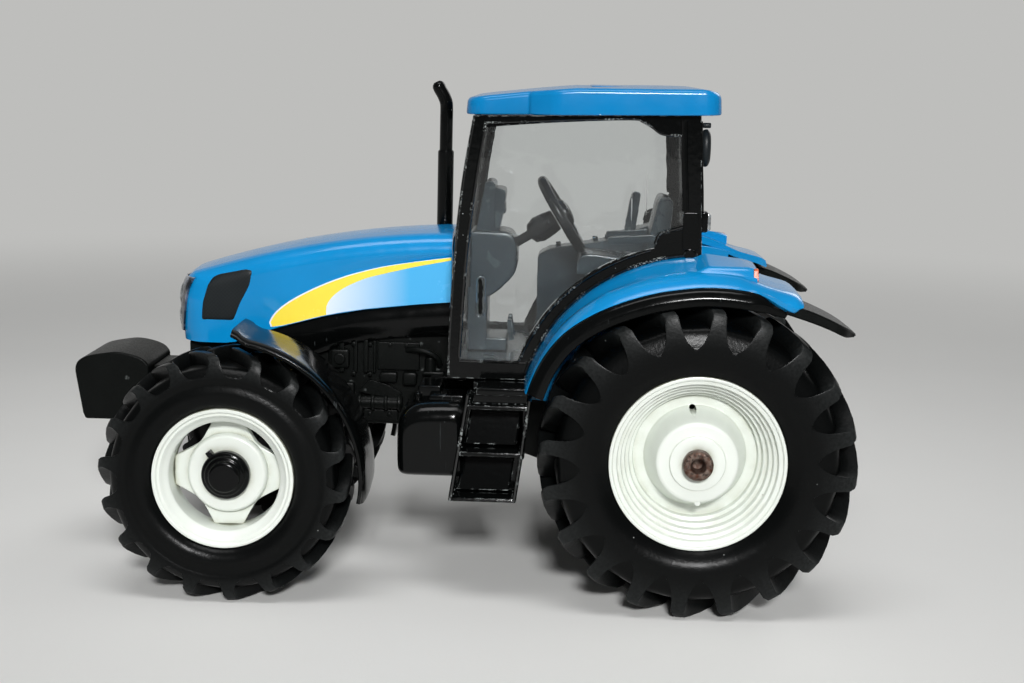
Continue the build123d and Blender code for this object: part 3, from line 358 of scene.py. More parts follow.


# Black polystyrene on the cab's raised beads: polished by handling, with a broken pale line
# painted along them, partly chips and partly a painted highlight.
def polished_bead(tree, paint):
    # Painted highlight: pale dashes in the beads' colour, partly standing for chips.
    worn = times(tree, mottle(tree, 0.3, 0.5, 0.6), mottle(tree, 4.0, 0.5, 0.62))
    return surface(
        tree, Base_Color=blend(tree, worn, paint.gloss_black, linear("#7c8180")), IOR=1.55,
        Specular_IOR_Level=0.6, Roughness=between(tree, worn, 0.08, 0.3), Normal=ripple(tree, 0.9, 0.01),
    )


# Polypropylene moulded in charcoal: a dull even surface that shows its fine spark-eroded
# grain as soft sheen, with pale scuffs where it has been knocked.
def moulded_charcoal(tree, paint):
    grain = mottle(tree, 0.35)
    scuff = times(tree, specks(tree, 2.6, 0.3, 0.2), mottle(tree, 0.6, 0.42, 0.6))
    tone = clouded(tree, 7.0, paint.charcoal, 0.85, 1.25)
    return surface(
        tree, Base_Color=blend(tree, scuff, tone, linear("#565a59")), IOR=1.49,
        Specular_IOR_Level=0.09, Roughness=between(tree, grain, 0.3, 0.46), Normal=relief(tree, grain, 0.012),
    )


# ABS moulded in blue-grey: a flat mid tone with a soft gloss along its rounded edges.
def moulded_cab_grey(tree, paint):
    flow = mottle(tree, 5.0)
    tone = blend(tree, flow, shade(paint.cab_grey, 0.94), shade(paint.cab_grey, 1.04))
    return surface(
        tree, Base_Color=tone, IOR=1.53,
        Specular_IOR_Level=0.35, Roughness=between(tree, flow, 0.18, 0.3), Normal=ripple(tree, 1.6, 0.002),
    )


# ABS moulded in dark charcoal for the steering wheel: darker and shinier than the dash.
def moulded_wheel_charcoal(tree, paint):
    flow = mottle(tree, 3.0)
    tone = blend(tree, flow, shade(paint.wheel_black, 0.8), shade(paint.wheel_black, 1.3))
    return surface(
        tree, Base_Color=tone, IOR=1.53, Specular_IOR_Level=0.3, Roughness=between(tree, flow, 0.18, 0.28),
        Normal=ripple(tree, 1.6, 0.002),
    )


# Off-white ABS moulded wheel centre: clean and slightly green-grey, a soft gloss on each
# terrace, and a greenish-grey painted shade in its corners and recesses.
def moulded_off_white(tree, paint):
    # Painted shade: a greenish-grey darkening, in patches, in the corners and recesses the occlusion finds.
    corner_shade = times(tree, crevices(tree, 1.6), mottle(tree, 3.0, 0.25, 0.6))
    dust = specks(tree, 2.6, 0.12, 0.05)
    tone = clouded(tree, 8.0, paint.rim_white, 0.97, 1.02)
    dull = blend(tree, corner_shade, tone, linear("#a9ab95"))
    return surface(
        tree, Base_Color=blend(tree, dust, dull, linear("#8d8b7c")), IOR=1.53,
        Roughness=uneven(tree, 2.0, 0.3, 0.42), Coat_Weight=0.25, Coat_Roughness=0.2,
        Subsurface_Weight=0.05, Subsurface_Radius=(0.0006, 0.0006, 0.0005),
    )


# Moulded rubber (plasticised PVC): black with a waxy shine in the valleys, while
# the lug faces are dulled by handling and their tips rubbed grey.
def moulded_rubber(tree, paint):
    lug = add(tree, "ShaderNodeAttribute", attribute_name="worn").outputs["Fac"]
    scuff = mottle(tree, 0.45, detail=6.0)
    rubbed = times(tree, lug, between(tree, scuff, 0.35, 1.0))
    dust = specks(tree, 3.0, 0.12, 0.05)
    tone = blend(tree, rubbed, paint.rubber, paint.worn_rubber)
    return surface(
        tree, Base_Color=blend(tree, dust, tone, linear("#8c8f8e")), IOR=1.52, Specular_IOR_Level=0.11,
        Roughness=between(tree, rubbed, 0.28, 0.46), Normal=ripple(tree, 0.5, 0.012),
    )


# Clear polystyrene pane: colourless with a faint grey cast, sharp reflections and
# hair scratches that catch the light. Lamps shine through it.
def clear_pane(tree, paint):
    fine = times(tree, scratches(tree, 0.9, 0.9, 0.70, 0.76), mottle(tree, 7.0, 0.5, 0.62))
    cross = times(tree, scratches(tree, 1.1, -0.5, 0.71, 0.77), mottle(tree, 9.0, 0.5, 0.62))
    marks = combine(tree, "MAXIMUM", fine, cross)
    pane = surface(
        tree, Base_Color=blend(tree, marks, linear("#f4f6f6"), linear("#ffffff")), IOR=1.49,
        Roughness=between(tree, marks, 0.02, 0.5), Transmission_Weight=1.0, Specular_IOR_Level=0.3,
        Normal=relief(tree, mottle(tree, 6.0, 0.2, 0.8), 0.02),
    )
    through = add(tree, "ShaderNodeBsdfTransparent", {"Color": linear("#eef1f1")}).outputs["BSDF"]
    shadow = seen_by(tree, "Is Shadow Ray")
    return add(tree, "ShaderNodeMixShader", {0: shadow, 1: pane, 2: through}).outputs["Shader"]


# Turned mild steel, riveted over and left bare: brown rust with a few bright rubs.
def rusted_steel(tree, paint):
    rust = mottle(tree, 0.8, 0.35, 0.65, 6.0)
    tone = blend(tree, rust, paint.rust, linear("#7d6f66"))
    return surface(
        tree, Base_Color=blend(tree, mottle(tree, 0.4, 0.5, 0.7), tone, linear("#1d120c")), Metallic=0.7,
        Roughness=between(tree, rust, 0.62, 0.38), Normal=relief(tree, rust, 0.05),
    )


# Orange lacquer dabbed on the fender's lamp: flat, slightly uneven colour.
def painted_orange(tree, paint):
    dab = mottle(tree, 1.0)
    tone = blend(tree, dab, shade(paint.lamp_orange, 0.7), shade(paint.lamp_orange, 1.15))
    return surface(tree, Base_Color=tone, IOR=1.5, Roughness=0.35, Normal=relief(tree, dab, 0.03))


# Vacuum-silvered lens under clear lacquer: bright and grey, clouded dark and light as a painted reflection.
def silvered_lens(tree, paint):
    # Painted reflection: clouds of dark and bright in the silver colour.
    painted_reflection = mottle(tree, 1.2, 0.35, 0.65)
    tone = blend(tree, painted_reflection, linear("#5d6366"), linear("#d3d7d8"))
    return surface(
        tree, Base_Color=tone, Metallic=0.8, Roughness=between(tree, painted_reflection, 0.26, 0.14),
        Normal=relief(tree, painted_reflection, 0.02),
    )


# Pad-printed ink in flat yellow, slightly raised and glossier than the enamel.
def printed_yellow(tree, paint):
    tone = blend(tree, mottle(tree, 2.0), shade(paint.print_yellow, 0.97), paint.print_yellow)
    return surface(tree, Base_Color=tone, IOR=1.5, Roughness=uneven(tree, 3.0, 0.22, 0.3))


# Pad-printed white ink: a thin outline, softened by the blue under it.
def printed_white(tree, paint):
    tone = blend(tree, mottle(tree, 1.5), shade(paint.print_white, 0.93), paint.print_white)
    return surface(tree, Base_Color=tone, IOR=1.5, Roughness=uneven(tree, 3.0, 0.22, 0.3))


# Pad-printed fade: white ink at its front thins out over the sky-blue panel behind.
def printed_fade(tree, paint):
    along = add(tree, "ShaderNodeSeparateXYZ", {"Vector": place(tree)}).outputs["X"]
    fade = ramp(tree, along, (REAR.x + 66.5) * MM, (REAR.x + 51.0) * MM)
    tone = blend(tree, fade, paint.print_white, paint.print_sky)
    return surface(tree, Base_Color=tone, IOR=1.5, Roughness=uneven(tree, 3.0, 0.2, 0.28))


# Smoked polystyrene behind the side grille: flat dark grey with a fine moulded mesh
# drawn coarser than it is, so that it shows.
def smoked_grille(tree, paint):
    mesh = add(tree, "ShaderNodeTexChecker", {"Vector": place(tree), "Scale": per_mm(0.35)}).outputs["Fac"]
    tone = blend(tree, mesh, linear("#171b1d"), linear("#1b2022"))
    return surface(
        tree, Base_Color=tone, IOR=1.5, Specular_IOR_Level=0.2, Roughness=uneven(tree, 4.0, 0.34, 0.46)
    )


# Smoked lacquer over a silvered headlamp strip: lilac-grey glass, with soft dark and silver
# clouds painted into its colour as reflections and glints.
def smoked_headlamp(tree, paint):
    # Painted reflection: silver glints and dark patches in the glass's colour.
    painted_reflection = times(tree, mottle(tree, 1.8, 0.4, 0.64, 3.0), mottle(tree, 4.0, 0.36, 0.56))
    tone = blend(tree, painted_reflection, linear("#1b2027"), linear("#8f96a8"))
    return surface(
        tree, Base_Color=tone, Metallic=0.2, Roughness=0.16, Coat_Weight=1.0, Coat_Roughness=0.04,
        Normal=relief(tree, mottle(tree, 1.6, 0.4, 0.7), 0.04),
    )


# Matt emulsion on a seamless paper sweep: even and pale, with a barely visible tooth.
def painted_backdrop(tree, paint):
    tooth = mottle(tree, 0.6)
    stage = bpy.context.scene.tractor_stage
    tone = clouded(tree, 60.0, stage.floor, 0.99, 1.01)
    paper = surface(tree, Base_Color=tone, Roughness=0.9, Normal=relief(tree, tooth, 0.01))
    # Away from the tractor the paper shows its own pale colour, whatever light reaches it.
    out = add(tree, "ShaderNodeVectorMath", {0: place(tree)}, operation="LENGTH").outputs["Value"]
    far = ramp(tree, out, 0.16, 0.60, interpolation_type="SMOOTHSTEP")
    seen = seen_by(tree, "Is Camera Ray", "Is Glossy Ray", "Is Transmission Ray")
    pale = add(tree, "ShaderNodeEmission", {"Color": stage.backdrop, "Strength": 1.0}).outputs["Emission"]
    return add(tree, "ShaderNodeMixShader", {0: times(tree, seen, far), 1: paper, 2: pale}).outputs["Shader"]


# What most pieces are made of: slot and finish.
ENAMEL = ("blue_enamel", sprayed_enamel)
GLOSS = ("black_gloss_plastic", moulded_gloss_black)
RUBBED = ("black_gloss_plastic", rubbed_gloss_black)
CHARCOAL = ("chassis_plastic", moulded_charcoal)
GREY = ("cab_grey_plastic", moulded_cab_grey)
OFF_WHITE = ("white_plastic", moulded_off_white)


# ------------------------------------------------------------------ mesh tools


def rounded(points, radius, steps=3, closed=True):
    """A 2-D outline with its corners cut by short curves of about that radius."""
    result = []
    count = len(points)
    for i, corner in enumerate(points):
        here = Vector(corner)
        if not closed and i in (0, count - 1):
            result.append(tuple(here))
            continue
        back, ahead = Vector(points[i - 1]) - here, Vector(points[(i + 1) % count]) - here
        reach = min(radius, 0.45 * back.length, 0.45 * ahead.length)
        if reach < 1e-4:
            result.append(tuple(here))
            continue
        first, last = here + back.normalized() * reach, here + ahead.normalized() * reach
        for k in range(steps + 1):
            t = k / steps
            result.append(tuple(first * (1 - t) ** 2 + here * 2 * t * (1 - t) + last * t * t))
    return result


def arc(centre, radius, first, last, steps):
    """Points on a circle between two angles in degrees."""
    angles = [radians(first + (last - first) * k / steps) for k in range(steps + 1)]
    return [(centre[0] + radius * cos(a), centre[1] + radius * sin(a)) for a in angles]


def polar(radius, degrees):
    """A 2-D point at that radius and angle."""
    return (radius * cos(radians(degrees)), radius * sin(radians(degrees)))


def bow(first, middle, last, steps):
    """Points on the circle through three points."""
    (ax, ay), (bx, by), (cx, cy) = first, middle, last
    d = 2 * (ax * (by - cy) + bx * (cy - ay) + cx * (ay - by))
    aa, bb, cc = ax * ax + ay * ay, bx * bx + by * by, cx * cx + cy * cy
    ux = (aa * (by - cy) + bb * (cy - ay) + cc * (ay - by)) / d
    uy = (aa * (cx - bx) + bb * (ax - cx) + cc * (bx - ax)) / d
    start, end = math.degrees(math.atan2(ay - uy, ax - ux)), math.degrees(math.atan2(cy - uy, cx - ux))
    return arc((ux, uy), math.hypot(ax - ux, ay - uy), start, end, steps)


def curve(points, steps):
    """A smooth line through the points, with that many steps between neighbours."""
    known = [Vector(p) for p in points]
    known = [known[0] * 2 - known[1]] + known + [known[-1] * 2 - known[-2]]
    line = []
    for a, b, c, d in zip(known, known[1:], known[2:], known[3:]):
        for k in range(steps):
            t = k / steps
            slope, bend, twist = c - a, 2 * a - 5 * b + 4 * c - d, 3 * b - a - 3 * c + d
            line.append(0.5 * (2 * b + slope * t + bend * t * t + twist * t**3))
    return line + [known[-2].copy()]


def on_line(points, share):
    """The point at that share of a line's length."""
    line = [Vector(p) for p in points]
    spans = [(b - a).length for a, b in zip(line, line[1:])]
    left = share * sum(spans)
    for a, b, span in zip(line, line[1:], spans):
        if left <= span or b is line[-1]:
            return a.lerp(b, min(1.0, left / span) if span else 0)
        left -= span
    return line[-1]


def height_at(line, x):
    """Height of a side-view line at x."""
    spots = sorted(tuple(p) for p in line)
    for (x0, z0), (x1, z1) in zip(spots, spots[1:]):
        if x <= x1:
            return z0 + (z1 - z0) * max(0.0, (x - x0) / (x1 - x0)) if x1 > x0 else z1
    return spots[-1][1]


def hoop(centre, along, side, radius, steps):
    """Points on a circle round a centre, square to a line, from that side on."""
    other = along.cross(side)
    turns = [2 * pi * k / steps for k in range(steps)]
    return [centre + (side * cos(a) + other * sin(a)) * radius for a in turns]


def ease(t):
    """A smooth step from 0 to 1."""
    t = max(0.0, min(1.0, t))
    return t * t * (3 - 2 * t)


SHARP_ANGLE = 25  # degrees; corners sharper than this are rounded


class Shape:
    """A mesh under construction in millimetres, x counted forward from the rear axle."""

    def __init__(self):
        self.mesh = bmesh.new()
        self.worn = self.mesh.verts.layers.float.new("worn")

    def ring(self, points):
        """New vertices at the points."""
        return [self.mesh.verts.new(p) for p in points]

    def face(self, verts, material=0):
        """One face, left out where its corners fall together."""
        keep = [v for i, v in enumerate(verts) if v not in verts[:i]]
        if len(keep) > 2 and self.mesh.faces.get(keep) is None:
            made = self.mesh.faces.new(keep)
            made.material_index = material
            return made
        return None

    def skin(self, rings, closed=True, material=0):
        """Faces between rings of equal length."""
        for a, b in zip(rings, rings[1:]):
            count = len(a)
            for i in range(count if closed else count - 1):
                j = (i + 1) % count
                self.face((a[i], a[j], b[j], b[i]), material)

    def loft(self, lines, closed=False, material=0):
        """A skin over lines of points."""
        rings = [self.ring(line) for line in lines]
        self.skin(rings, closed, material)
        return rings

    def solid(self, lines, material=0):
        """A closed skin over lines of points, capped at both ends."""
        rings = self.loft(lines, True, material)
        self.face(rings[0], material)
        self.face(rings[-1], material)

    def round_edges(self, faces, edge):
        """Bevel the sharp edges of those faces."""
        if edge <= 0:
            return
        bmesh.ops.recalc_face_normals(self.mesh, faces=faces)
        sharp = {
            e for f in faces for e in f.edges
            if len(e.link_faces) == 2 and e.calc_face_angle(0) > radians(SHARP_ANGLE)
        }
        bmesh.ops.bevel(
            self.mesh, geom=list(sharp), offset=edge, offset_type="OFFSET", segments=2,
            profile=0.5, affect="EDGES", clamp_overlap=True, material=-1,
        )

    def prism(self, outline, low, high, edge, material=0, plane="side"):
        """A closed outline run from low to high: across for a side view, up for a plan."""
        if plane == "side":
            sets = [[(x, y, z) for x, z in outline] for y in (low, high)]
        elif plane == "plan":
            sets = [[(x, y, z) for x, y in outline] for z in (low, high)]
        else:
            sets = [[(x, y, z) for y, z in outline] for x in (low, high)]
        a, b = self.ring(sets[0]), self.ring(sets[1])
        faces = [self.face(a, material), self.face(b, material)]
        for i in range(len(a)):
            j = (i + 1) % len(a)
            faces.append(self.face((a[i], a[j], b[j], b[i]), material))
        self.round_edges([f for f in faces if f], edge)

    def box(self, x0, x1, y0, y1, z0, z1, edge=0.0, material=0):
        """An upright block with rounded edges."""
        self.prism(((x0, z0), (x1, z0), (x1, z1), (x0, z1)), y0, y1, edge, material)

    def turned(self, x, z, profile, steps, closed=True):
        """A (radius, y) profile turned about an axle that runs across."""
        rings = []
        for radius, y in profile:
            if radius < 1e-6:
                rings.append(self.ring([(x, y, z)]) * steps)
                continue
            spots = arc((x, z), radius, 0, 360 - 360 / steps, steps - 1)
            rings.append(self.ring([(a, y, b) for a, b in spots]))
        if closed:
            rings.append(rings[0])
        self.skin(rings)

    def rod(self, start, end, radius, steps, edge=0.0):
        """A round rod with rounded ends between two points."""
        a, b = Vector(start), Vector(end)
        along = (b - a).normalized()
        side = along.orthogonal().normalized()
        span = (b - a).length
        edge = min(edge, radius * 0.9, span * 0.4)
        stations = [(0, radius)]
        if edge:
            stations = [(0, radius - edge), (edge * 0.3, radius - edge * 0.3), (edge, radius)]
        mirrored = [(span - d, r) for d, r in reversed(stations)]
        self.solid([hoop(a + along * d, along, side, r, steps) for d, r in stations + mirrored])

    def tube(self, line, radii, steps, material=0):
        """A round tube along a line, its radius given at each point."""
        points = [Vector(p) for p in line]
        lines = []
        side = None
        for i, p in enumerate(points):
            along = (points[min(i + 1, len(points) - 1)] - points[max(i - 1, 0)]).normalized()
            side = along.orthogonal() if side is None else side - along * side.dot(along)
            side.normalize()
            lines.append(hoop(p, along, side, radii[i], steps))
        self.solid(lines, material)

    def join(self, other, matrix):
        """Take in another shape, moved by a matrix."""
        bmesh.ops.transform(other.mesh, matrix=matrix, verts=other.mesh.verts)
        mesh = bpy.data.meshes.new("joined")
        other.mesh.to_mesh(mesh)
        other.mesh.free()
        self.mesh.from_mesh(mesh)
        bpy.data.meshes.remove(mesh)

    def mirrored(self):
        """The same shape on the other side of the tractor."""
        other = Shape.__new__(Shape)
        other.mesh = self.mesh.copy()
        other.worn = other.mesh.verts.layers.float.get("worn")
        for v in other.mesh.verts:
            v.co.y = -v.co.y
        bmesh.ops.reverse_faces(other.mesh, faces=other.mesh.faces)
        return other


def put(name, data):
    """A new object in the scene."""
    obj = bpy.data.objects.new(name, data)
    bpy.context.scene.collection.objects.link(obj)
    return obj


def cut(shape, cutter):
    """The shape with the cutter's space taken out."""
    holders = []
    for one in (shape, cutter):
        mesh = bpy.data.meshes.new("cut")
        bmesh.ops.recalc_face_normals(one.mesh, faces=one.mesh.faces)
        one.mesh.to_mesh(mesh)
        holders.append(put("cut", mesh))
    saw = holders[0].modifiers.new("cut", "BOOLEAN")
    saw.operation, saw.solver, saw.object = "DIFFERENCE", "EXACT", holders[1]
    bpy.context.view_layer.update()
    result = holders[0].evaluated_get(bpy.context.evaluated_depsgraph_get()).to_mesh()
    done = Shape()
    done.mesh.from_mesh(result)
    done.worn = done.mesh.verts.layers.float.get("worn")
    holders[0].to_mesh_clear()
    for holder in holders:
        mesh = holder.data
        bpy.data.objects.remove(holder)
        bpy.data.meshes.remove(mesh)
    return done


def softened(node, edge):
    """A CAD node's shape with its flat faces joined and its sharp edges rounded."""
    shape = Shape()
    shape.mesh.from_mesh(NODES[node].data)
    shape.worn = shape.mesh.verts.layers.float.get("worn") or shape.mesh.verts.layers.float.new("worn")
    to_mm = Matrix.Translation((-REAR.x, 0, 0)) @ Matrix.Scale(1 / MM, 4)
    bmesh.ops.transform(shape.mesh, matrix=to_mm, verts=shape.mesh.verts)
    bmesh.ops.remove_doubles(shape.mesh, verts=shape.mesh.verts, dist=1e-4)
    bmesh.ops.dissolve_limit(
        shape.mesh, angle_limit=radians(0.6), verts=shape.mesh.verts, edges=shape.mesh.edges
    )
    shape.round_edges(list(shape.mesh.faces), edge)
    return shape


def piece(name, shape, slot, *finishes, body="tractor", node=None, crease=32):
    """Turn a shape into an object that rides on a body and takes the finishes given; the slot is not used."""
    mesh = bpy.data.meshes.new(name)
    bm = shape.mesh
    bmesh.ops.remove_doubles(bm, verts=bm.verts, dist=1e-5)
    bmesh.ops.recalc_face_normals(bm, faces=bm.faces)
    to_metres = Matrix.Scale(MM, 4) @ Matrix.Translation((REAR.x, 0, 0))
    bmesh.ops.transform(bm, matrix=to_metres, verts=bm.verts)
    bm.to_mesh(mesh)
    bm.free()
    for build in finishes:
        mesh.materials.append(finish(build))
    mesh.polygons.foreach_set("use_smooth", [True] * len(mesh.polygons))
    mesh.set_sharp_from_angle(angle=radians(crease))
    obj = put(name, mesh)
    weigh = obj.modifiers.new("weighted normals", "WEIGHTED_NORMAL")
    weigh.keep_sharp = True
    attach(obj, body)
    if node:
        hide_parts(node)
    return obj


def pair(name, shape, slot, *finishes, body="tractor", node=None, crease=32):
    """A left-hand piece and its mirror image; body and node may name a side."""
    other = shape.mirrored()
    for (side, _), half in zip(SIDES, (shape, other)):
        where, sided = body.format(side=side), node and f"{node}_{side}"
        piece(f"{name}_{side}", half, slot, *finishes, body=where, node=sided, crease=crease)


def dress(node, build):
    """Give a CAD node its real finish."""
    obj = NODES[node]
    for slot in obj.material_slots:
        slot.material = finish(build)


def edges_mm():
    """The toy's usual edge roundings in millimetres: moulded and fine."""
    sizes = bpy.context.scene.tractor_body
    return sizes.moulded_edge / MM, sizes.fine_edge / MM


# ------------------------------------------------------------------ wheels

# Half of a tyre's tread from its middle to the sidewall, a row a line: y and radius
# on a lug, y and radius in a valley, half a lug's share of the pitch at its top and
# at its foot, share of the slant, rubbed.
REAR_TREAD = (
    (-1.9, 23.75, -1.9, 23.75, 0.110, 0.140, 1.15, 0.0),
    (-1.5, 26.70, -1.5, 23.80, 0.110, 0.140, 1.12, 0.2),
    (-1.1, 27.00, -1.1, 23.90, 0.115, 0.148, 1.08, 0.2),
    (0.6, 27.10, 0.6, 24.15, 0.120, 0.152, 0.95, 0.2),
    (3.0, 27.12, 3.0, 24.20, 0.128, 0.158, 0.62, 0.2),
    (5.2, 27.02, 5.0, 24.10, 0.135, 0.165, 0.30, 0.3),
    (6.6, 26.80, 6.2, 23.85, 0.140, 0.168, 0.12, 0.5),
    (7.25, 26.50, 6.85, 23.50, 0.143, 0.170, 0.05, 1.0),
    (7.7, 25.90, 7.3, 23.05, 0.150, 0.176, 0.00, 0.9),
    (8.0, 24.90, 7.6, 22.50, 0.160, 0.186, 0.00, 0.7),
    (8.22, 23.70, 7.82, 21.85, 0.182, 0.208, 0.00, 0.5),
    (8.38, 22.40, 8.02, 21.20, 0.222, 0.246, 0.00, 0.35),
    (8.46, 21.30, 8.2, 20.65, 0.285, 0.306, 0.00, 0.2),
    (8.49, 20.50, 8.36, 20.25, 0.370, 0.388, 0.00, 0.1),
    (8.5, 20.05, 8.46, 20.0, 0.440, 0.455, 0.00, 0.05),
)
REAR_WALL = (
    (8.5, 19.6), (8.48, 18.6), (8.3, 17.6), (7.95, 16.7), (7.4, 15.9), (6.95, 15.35), (6.7, 15.1),
    (5.85, 15.08), (5.85, 14.05),
)
FRONT_TREAD = (
    (-1.5, 19.30, -1.5, 19.30, 0.100, 0.135, 1.15, 0.0),
    (-1.2, 21.50, -1.2, 19.35, 0.100, 0.135, 1.12, 0.2),
    (-0.8, 21.75, -0.8, 19.45, 0.105, 0.140, 1.08, 0.2),
    (0.5, 21.82, 0.5, 19.60, 0.110, 0.143, 0.95, 0.2),
    (2.4, 21.82, 2.4, 19.65, 0.113, 0.145, 0.62, 0.2),
    (4.2, 21.72, 4.1, 19.60, 0.115, 0.146, 0.30, 0.3),
    (5.3, 21.50, 5.0, 19.50, 0.118, 0.147, 0.12, 0.5),
    (5.85, 21.20, 5.45, 19.35, 0.120, 0.149, 0.05, 1.0),
    (6.2, 20.60, 5.75, 19.12, 0.130, 0.158, 0.00, 0.8),
    (6.42, 19.90, 6.0, 18.85, 0.148, 0.175, 0.00, 0.55),
    (6.56, 19.20, 6.2, 18.58, 0.178, 0.203, 0.00, 0.4),
    (6.63, 18.55, 6.38, 18.32, 0.225, 0.248, 0.00, 0.3),
    (6.66, 18.10, 6.52, 18.08, 0.275, 0.296, 0.00, 0.2),
)
FRONT_WALL = (
    (6.67, 17.85), (6.64, 17.45), (6.52, 17.05), (6.42, 16.7), (6.44, 16.35), (6.56, 15.9), (6.72, 15.4),
    (6.8, 14.9), (6.76, 14.3), (6.58, 13.65), (6.28, 13.1), (5.85, 12.65), (5.45, 12.38), (5.3, 12.3),
    (4.65, 12.28), (4.65, 11.35),
)
EVEN_COLUMNS = (-0.36, -0.31, 0.0, 0.31, 0.36, 0.42, 0.46, 0.5, 0.54, 0.58)


def tyre(centre_x, centre_z, middle, tread, wall, lugs, slant, edge, first):
    """A lugged tyre: both halves of the tread, their lugs half a pitch apart."""
    shape = Shape()
    pitch = 2 * pi / lugs
    beads = []

    def spot_at(angle, radius, across, rub):
        x, z = centre_x + radius * cos(angle), centre_z + radius * sin(angle)
        vert = shape.mesh.verts.new((x, across, z))
        vert[shape.worn] = rub
        return vert

    for side, start in ((1, first), (-1, first + 0.5)):
        rings = []
        for y, r, floor_y, floor_r, top, foot, turn, rub in tread:
            share = edge / (r * pitch)
            gap = 1 - 2 * foot
            spots = (
                (-top, 0.1, 1), (share - top, 0, 1), (0.0, 0, 1), (top - share, 0, 1), (top, 0.1, 1),
                (foot, 1, 0), (foot + 0.2 * gap, 1.02, 0), (0.5, 1.04, 0), (foot + 0.8 * gap, 1.02, 0),
                (1 - foot, 1, 0),
            )
            verts = []
            for k in range(lugs):
                for spot, depth, lug in spots:
                    angle = (start + k + spot) * pitch - turn * slant
                    across = middle + side * (y + (floor_y - y) * depth)
                    verts.append(spot_at(angle, r + (floor_r - r) * depth, across, rub * lug))
            rings.append(verts)
        last_rub = tread[-1][7]
        for i, (y, r) in enumerate(wall):
            rub = last_rub * (0.16 if i else 0.8)
            rings.append([
                spot_at((start + k + column) * pitch, r, middle + side * y, rub)
                for k in range(lugs) for column in EVEN_COLUMNS
            ])
        shape.skin(rings)
        beads.append(rings[-1])
    shape.skin(beads)
    return shape


class TRACTOR_OT_tyres(bpy.types.Operator):
    """Build the four lugged rubber tyres"""

    bl_idname = "tractor.tyres"
    bl_label = "Lugged tyres"

    def execute(self, context):
        tread = context.scene.tractor_tread
        for end, hub, rows, wall, lugs, first in (
            ("rear", REAR, REAR_TREAD, REAR_WALL, tread.rear_lugs, 0.31),
            ("front", FRONT, FRONT_TREAD, FRONT_WALL, tread.front_lugs, 0.35),
        ):
            low, high = size_mm(f"{end}_tyre_left")
            shape = tyre(
                hub.x - REAR.x, hub.z, (low.y + high.y) / 2, rows, wall, lugs, tread.slant,
                tread.edge / MM, first
            )
            pair(
                f"lugged_{end}_tyre", shape, "tyre_rubber", moulded_rubber, body=end + "_wheel_{side}",
                node=f"{end}_tyre", crease=38,
            )
        return {"FINISHED"}


# Rear wheel centre from its edge to the hub, then its back: radius, depth behind the edge.
REAR_RIM_FACE = (
    (15.03, 0.0), (14.4, 0.0), (14.35, 0.6), (13.6, 0.65), (13.55, 1.9), (12.9, 1.95), (12.85, 3.2),
    (12.2, 3.25), (12.15, 4.6), (11.45, 4.65), (11.4, 6.1), (10.75, 6.15), (10.7, 7.5), (8.8, 7.5),
    (6.95, 1.5), (6.5, 1.25), (4.76, 1.25), (4.7, 0.75), (1.7, 0.75), (1.7, 9.5), (4.76, 9.5),
    (4.76, 8.7), (12.0, 8.7), (12.0, 14.2), (14.0, 14.2), (14.0, 1.2), (15.03, 1.2),
)
FRONT_BARREL = (
    (12.23, 0.0), (11.6, 0.0), (11.35, 0.45), (10.95, 0.4), (10.44, 1.1), (9.6, 1.75), (9.6, 7.4),
    (11.3, 7.4), (11.3, 1.4), (12.23, 1.1),
)
FRONT_BOSS = (
    (7.0, 6.6), (7.0, 4.6), (6.6, 3.9), (1.7, 3.9), (1.7, 8.2), (5.0, 8.2), (5.0, 6.6),
)


class TRACTOR_OT_wheel_centres(bpy.types.Operator):
    """Build the off-white wheel centres: terraced at the rear, four-lobed at the front"""

    bl_idname = "tractor.wheel_centres"
    bl_label = "Wheel centres"

    def execute(self, context):
        edge_y = size_mm("rear_rim_left")[1].y
        rear = Shape()
        rear.turned(0, REAR.z, rounded([(r, edge_y - d) for r, d in REAR_RIM_FACE], 0.28, 2), 128)
        # The moulding's gate mark, and the valve hole.
        mark = [(r, edge_y - d) for r, d in ((0.0, 1.4), (0.5, 1.5), (0.64, 1.75), (0.68, 3.6))]
        rear.turned(-0.3, REAR.z - 6.95, mark, 20, closed=False)
        hole = Shape()
        hole.rod((0.75, edge_y - 1.0, REAR.z + 8.3), (0.75, edge_y - 10.0, REAR.z + 8.3), 0.6, 24)
        rear = cut(rear, hole)
        pair("terraced_rear_rim", rear, *OFF_WHITE, body="rear_wheel_{side}", node="rear_rim")

        edge_y = size_mm("front_rim_left")[1].y
        front = Shape()
        front.turned(WHEELBASE, FRONT.z, rounded([(r, edge_y - d) for r, d in FRONT_BARREL], 0.3, 2), 112)
        lobes = []
        # Each quarter's hollow: radius, degrees.
        hollow = ((9.75, 15.3), (8.0, 28), (7.15, 45), (8.0, 62), (9.75, 74.7))
        for turn in (0, 90, 180, 270):
            line = curve([polar(r, turn + degrees) for r, degrees in hollow], 5)
            lobes += [(WHEELBASE + p.x, FRONT.z + p.y) for p in line]
        front.prism(lobes, edge_y - 7.1, edge_y - 5.4, 0.28)
        front.turned(WHEELBASE, FRONT.z, rounded([(r, edge_y - d) for r, d in FRONT_BOSS], 0.35, 3), 80)
        pair("lobed_front_rim", front, *OFF_WHITE, body="front_wheel_{side}", node="front_rim")
        return {"FINISHED"}


